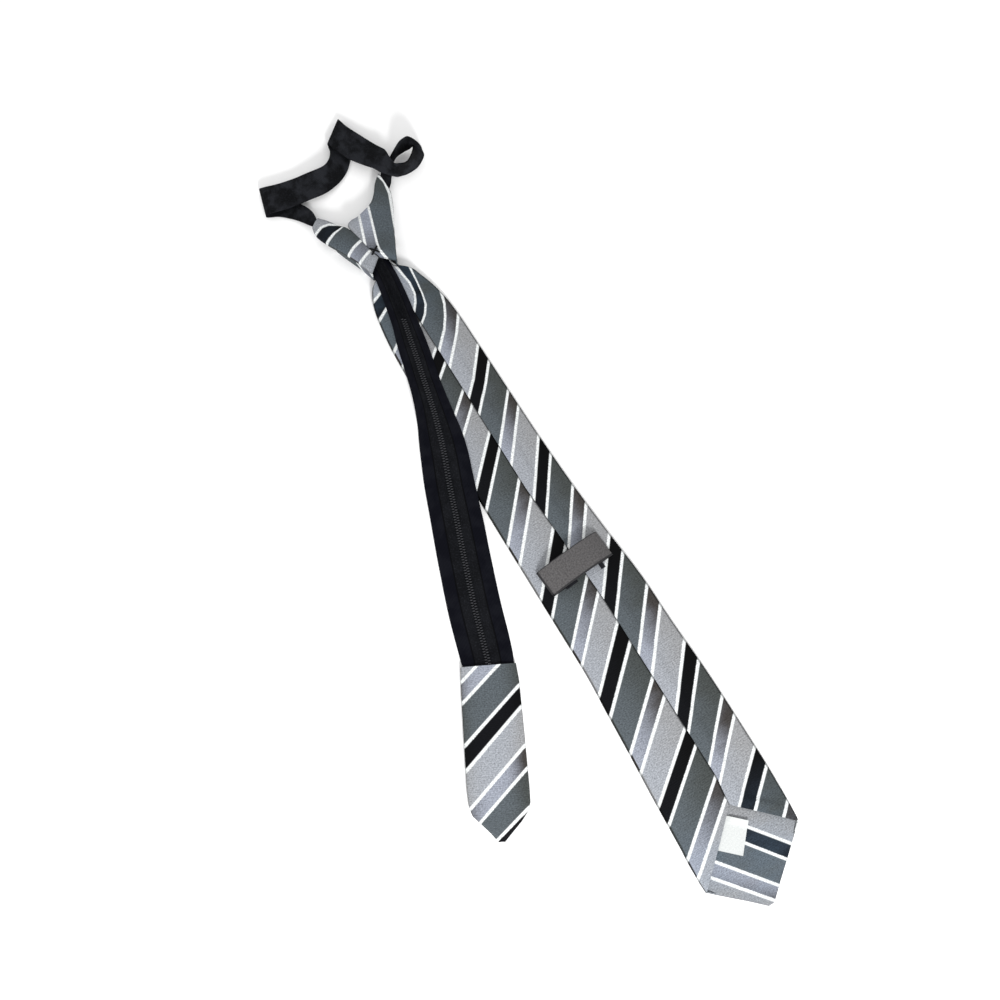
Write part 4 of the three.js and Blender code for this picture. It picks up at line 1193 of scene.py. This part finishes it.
@dataclass
class TailSleeve:
    """The striped, pointed sleeve at the strip's lower end."""

    mouth: tuple[float, float] = (-89.92, 203.45)
    turn: float = 0.462
    length: float = 120.0
    width: float = 42.0
    thickness: float = 3.7
    wall: float = 0.9
    rows: Table = ((0.0, -0.95, 0.93), (0.1, -0.97, 0.99), (0.4, -1.0, 1.02), (0.7, -1.01, 1.04),
                   (0.79, -0.98, 1.03), (0.84, -0.88, 0.92), (0.89, -0.6, 0.69), (0.94, -0.33, 0.4),
                   (0.99, -0.1, 0.12))
    lines: tuple[StripeLine, ...] = (
        StripeLine(0.509, ((8.9, 1.5), (-20.6, -25.6))),
        StripeLine(0.182, ((22.7, -13.3), (-19.8, -53.6))),
        StripeLine(0.0, ((22.1, -28.9), (-20.1, -70.6))),
        StripeLine(-0.314, ((22.4, -55.4), (-19.6, -96.2))),
        StripeLine(-0.491, ((22.8, -70.8), (-14.2, -106.3))),
        StripeLine(-0.818, ((22.5, -96), (-1.7, -116.5))),
    )

    def build(self) -> Any:
        """Builds the flat sleeve, with its mouth over the end of the zipper."""
        shares = sorted(set(np.round(np.linspace(0.0, 0.99, 60), 4)) | {row[0] for row in self.rows})
        tube = KnotSleeve("", "", (), (), 0.0, thickness=self.thickness, wall=self.wall)
        cos, sin = math.cos(-self.turn), math.sin(-self.turn)
        grid, counts, sheens = [], [], []
        guide = StripeGuide(self.lines, SATIN.repeat)
        for share in shares:
            low, high = (float(read_straight(self.rows, share, c)) * self.width / 2.0 for c in (1, 2))
            section = tube.tube(high - low, 0.05, self.thickness)
            x = low + section[:, 0]
            y = np.full_like(x, -share * self.length)
            top = section[:, 1] > self.thickness / 2.0
            z = section[:, 1] + np.where(top, 0.12 * ripple(x, y, 7.0, 28.0) - 0.25, 0.0)
            counts.append(guide.count(x, y))
            # Painted sheen, highest near the middle and a little lower towards the tip; painted shade along the
            # folded edges, as a sheen share below 0.
            painted_sheen_share = np.clip(1.0 - 3.2 * (x / self.width + 0.05)**2 - 0.1 * share, 0.0, 1.0)
            sheens.append(np.where(np.minimum(x - low, high - x) < 0.7, -0.6, painted_sheen_share))
            grid.append(np.stack([self.mouth[0] + x * cos - y * sin, self.mouth[1] + x * sin + y * cos, z], axis=1))
        places, count, sheen = np.array(grid), np.array(counts), np.array(sheens)
        places[:, -1] = places[:, 0]
        grid = ClothGrid("tail", places, cloth_map(places), count, sheen, self.wall, Rim.CLOSED)
        piece = grid.build(SATIN_MATERIAL)
        across = float(lengths(places, 1)[:, -1].mean())
        declare(piece, "tail_sleeve", (across, self.length))
        return piece


@dataclass
class BarTack:
    """The cross of black thread at the point of the V."""

    centre: tuple[float, float, float] = (-3.0, 519.6, 18.8)
    length: float = 8.4
    turns: tuple[float, ...] = (0.6, -0.9)
    strand: float = 0.42

    def build(self, material: Any) -> Any:
        """Builds the strands, each a thin arched rod."""
        made = []
        for turn in self.turns:
            for offset in (-0.4, 0.0, 0.4):
                bpy.ops.object.select_all(action="DESELECT")
                bpy.ops.mesh.primitive_cylinder_add(vertices=8, radius=self.strand, depth=self.length,
                                                    rotation=(0.0, math.pi / 2.0, 0.0))
                rod = bpy.context.object
                bpy.ops.object.transform_apply(rotation=True)
                bpy.ops.object.mode_set(mode="EDIT")
                bpy.ops.mesh.select_all(action="SELECT")
                bpy.ops.mesh.subdivide(number_cuts=6)
                bpy.ops.object.mode_set(mode="OBJECT")
                for vertex in rod.data.vertices:
                    share = 2.0 * vertex.co.x / self.length
                    bend = -0.5 * share * share
                    x, y = vertex.co.x, vertex.co.y + offset
                    vertex.co = Vector(((x * math.cos(turn) - y * math.sin(turn) + self.centre[0]) * MM,
                                        (x * math.sin(turn) + y * math.cos(turn) + self.centre[1]) * MM,
                                        (vertex.co.z + bend + self.centre[2]) * MM))
                made.append(rod)
        bpy.ops.object.select_all(action="DESELECT")
        for rod in made:
            rod.select_set(True)
        bpy.context.view_layer.objects.active = made[0]
        bpy.ops.object.join()
        piece = bpy.context.object
        piece.name = "thread_cross"
        bpy.ops.object.shade_smooth()
        piece.data.materials.clear()
        piece.data.materials.append(material)
        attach(piece, "root")
        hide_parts("bar_tack")
        LOG.info("%s has %d strands", piece.name, len(made))
        return piece


LEFT_ARM = KnotSleeve(
    "left_arm", "left_sleeve",
    ((-0.65, 1.53, -0.49, 1.68, 0.22), (-0.67, 1.35, -0.39, 1.5, 0.3), (-0.6, 1.03, -0.29, 1.27, 0.42),
     (-0.48, 0.68, -0.215, 1.11, 0.56), (-0.385, 0.4, -0.15, 0.8, 0.67), (-0.325, 0.17, -0.118, 0.53, 0.71),
     (-0.27, -0.02, -0.055, 0.23, 0.73)),
    (StripeLine(0.0, ((-36, 559.4), (-27.7, 562.6), (-21.7, 561.4), (-16.9, 557.2))),
     StripeLine(0.182, ((-31.1, 547.1), (-22, 551.7), (-12.1, 553.6))),
     StripeLine(0.509, ((-23.9, 526.3), (-16.5, 530.3), (-7.8, 533.1))),
     StripeLine(0.686, ((-20.1, 515.5), (-6, 521.8)))),
    11.0,
)
RIGHT_ARM = KnotSleeve(
    "right_arm", "right_sleeve",
    ((0.67, 1.45, 0.67, 1.96, 0.14), (0.63, 1.3, 0.54, 1.79, 0.2), (0.59, 1.16, 0.41, 1.55, 0.28),
     (0.55, 1.03, 0.27, 1.38, 0.36), (0.5, 0.91, 0.01, 1.25, 0.44), (0.43, 0.73, -0.11, 1.22, 0.52),
     (0.36, 0.56, -0.19, 1.12, 0.58), (0.3, 0.38, -0.165, 0.8, 0.64), (0.23, 0.19, -0.12, 0.53, 0.67),
     (0.16, 0.0, -0.04, 0.24, 0.68)),
    (StripeLine(-0.818, ((33.5, 580), (34.7, 574), (33, 562.8), (27.5, 548.5), (20, 530))),
     StripeLine(-0.491, ((11.4, 556.1), (1.6, 524), (0.8, 519), (2.9, 511))),
     StripeLine(-0.314, ((1.9, 554.2), (-5.8, 530.3)))),
    12.0,
)
CARE_TAB = SewnLabel(
    "care_tab", "care_label", "label_white", (-6.6, 19.9), -0.75, 23.5,
    ((-8.5, 0.0), (-4.0, 0.0), (4.0, 0.0), (8.5, 0.0)), 2.44, 0.34, 0.4, "tip_lining", 1.2,
)
KEEPER = SewnLabel(
    "keeper_band", "keeper_loop", "keeper_satin", (0.5, 233.5), 0.08, 21.0,
    ((-15.5, 0.65), (-22.0, 0.65), (-25.8, 0.65), (-26.5, 1.35), (-25.8, 2.05), (-21.2, 4.7), (-14.6, 7.2),
     (-6.0, 7.9), (0.0, 8.0), (6.0, 7.9), (14.6, 7.2), (21.2, 4.7), (25.8, 2.05), (26.5, 1.35), (25.8, 0.65),
     (22.0, 0.65), (15.5, 0.65)), 3.6, 0.65, 0.0, "blade_shell",
)
KEEPER_ENDS = tuple(
    SewnLabel(name, "keeper_loop", "keeper_satin", centre, 0.08, length, ((-half, 0.0), (half, 0.0)), 4.3, 0.5,
              0.0, "blade_shell", 0.4)
    for name, centre, half, length in (("keeper_end_left", (-9.6, 226.0), 5.0, 10.2),
                                       ("keeper_end_right", (13.2, 225.2), 5.0, 10.2))
)
SATIN_MATERIAL = SATIN.build()


@dataclass
class Studio:
    """Pale floor, soft lights and the camera."""

    eye: tuple[float, float, float] = (-0.1245, 0.130, 0.7443)
    heading: float = -31.0
    tilt: float = 15.2
    lens: float = 37.62
    sky: float = 0.92
    lights: tuple[tuple[float, ...], ...] = (
        (-0.32, -0.81, 0.72, 0.25, 18.0),
        (-0.8, 0.6, 1.2, 1.2, 2.0),
    )

    def build(self) -> None:
        """Builds the camera, the lights and the floor."""
        camera = bpy.data.cameras.new("camera")
        camera.lens = self.lens
        camera.sensor_width = 36.0
        camera.clip_start = 0.01
        holder = bpy.data.objects.new("camera", camera)
        holder.location = self.eye
        holder.rotation_euler = (math.radians(self.tilt), 0.0, math.radians(self.heading))
        bpy.context.scene.collection.objects.link(holder)
        bpy.context.scene.camera = holder
        for number, (x, y, z, size, power) in enumerate(self.lights):
            lamp = bpy.data.lights.new(f"softbox_{number}", "AREA")
            lamp.shape = "SQUARE"
            lamp.size = size
            lamp.energy = power
            box = bpy.data.objects.new(lamp.name, lamp)
            box.location = (x, y, z)
            box.rotation_euler = (Vector((0.0, 0.25, 0.0)) - Vector((x, y, z))).to_track_quat("-Z", "Y").to_euler()
            bpy.context.scene.collection.objects.link(box)
        world = bpy.data.worlds.new("sky")
        world.use_nodes = True
        sky = world.node_tree.nodes["Background"]
        sky.inputs["Color"].default_value = (1.0, 1.0, 1.0, 1.0)
        sky.inputs["Strength"].default_value = self.sky
        bpy.context.scene.world = world
        bpy.context.scene.view_settings.view_transform = "Standard"
        bpy.ops.object.select_all(action="DESELECT")
        bpy.ops.mesh.primitive_plane_add(size=6.0, location=(0.0, 0.25, -0.0002))
        floor = bpy.context.object
        floor.name = "floor"
        mixer = Mixer("floor_paper")
        tone = mixer.noise(mixer.place(), 3.0)
        paper = mixer.blend(tone, (0.9, 0.9, 0.9, 1.0), (0.92, 0.92, 0.92, 1.0))
        floor.data.materials.append(mixer.finish(paper, 0.9, None, Specular_IOR_Level=0.1))


def main() -> None:
    """Builds the studio and every piece, from the tip to the neck, and logs each."""
    logging.basicConfig(level=logging.INFO, format="%(message)s")
    Studio().build()
    blade = Blade()
    blade.build()
    TipLining(blade).build()
    CARE_TAB.build(PlainWeave("care_cloth", "E6E9E7", "D3D6D6", 0.6, mottle=1.1).build())
    for end in KEEPER_ENDS:
        end.build(PlainWeave(f"{end.name}_cloth", "23252B", "15161A").build())
    KEEPER.build(PlainWeave("keeper_cloth", "6E6C6C", "4C4A4B", 0.5, mottle=0.8, hem=(26.2, 1.3, 20.4)).build())
    KnotWrap().build()
    LEFT_ARM.build()
    RIGHT_ARM.build()
    NeckBand().build(WovenTape("neck_cloth", "0E0F11", "0C0D10", 20.0, seam=0.0, blotch=0.4).build())
    ZipperStrip(blade).build(WovenTape("zipper_cloth").build(), MouldedNylon().build())
    TailSleeve().build()
    BarTack().build(PlainWeave("thread", "0C0C0E", "060607", 0.7).build())


if __name__ == "__main__":
    main()
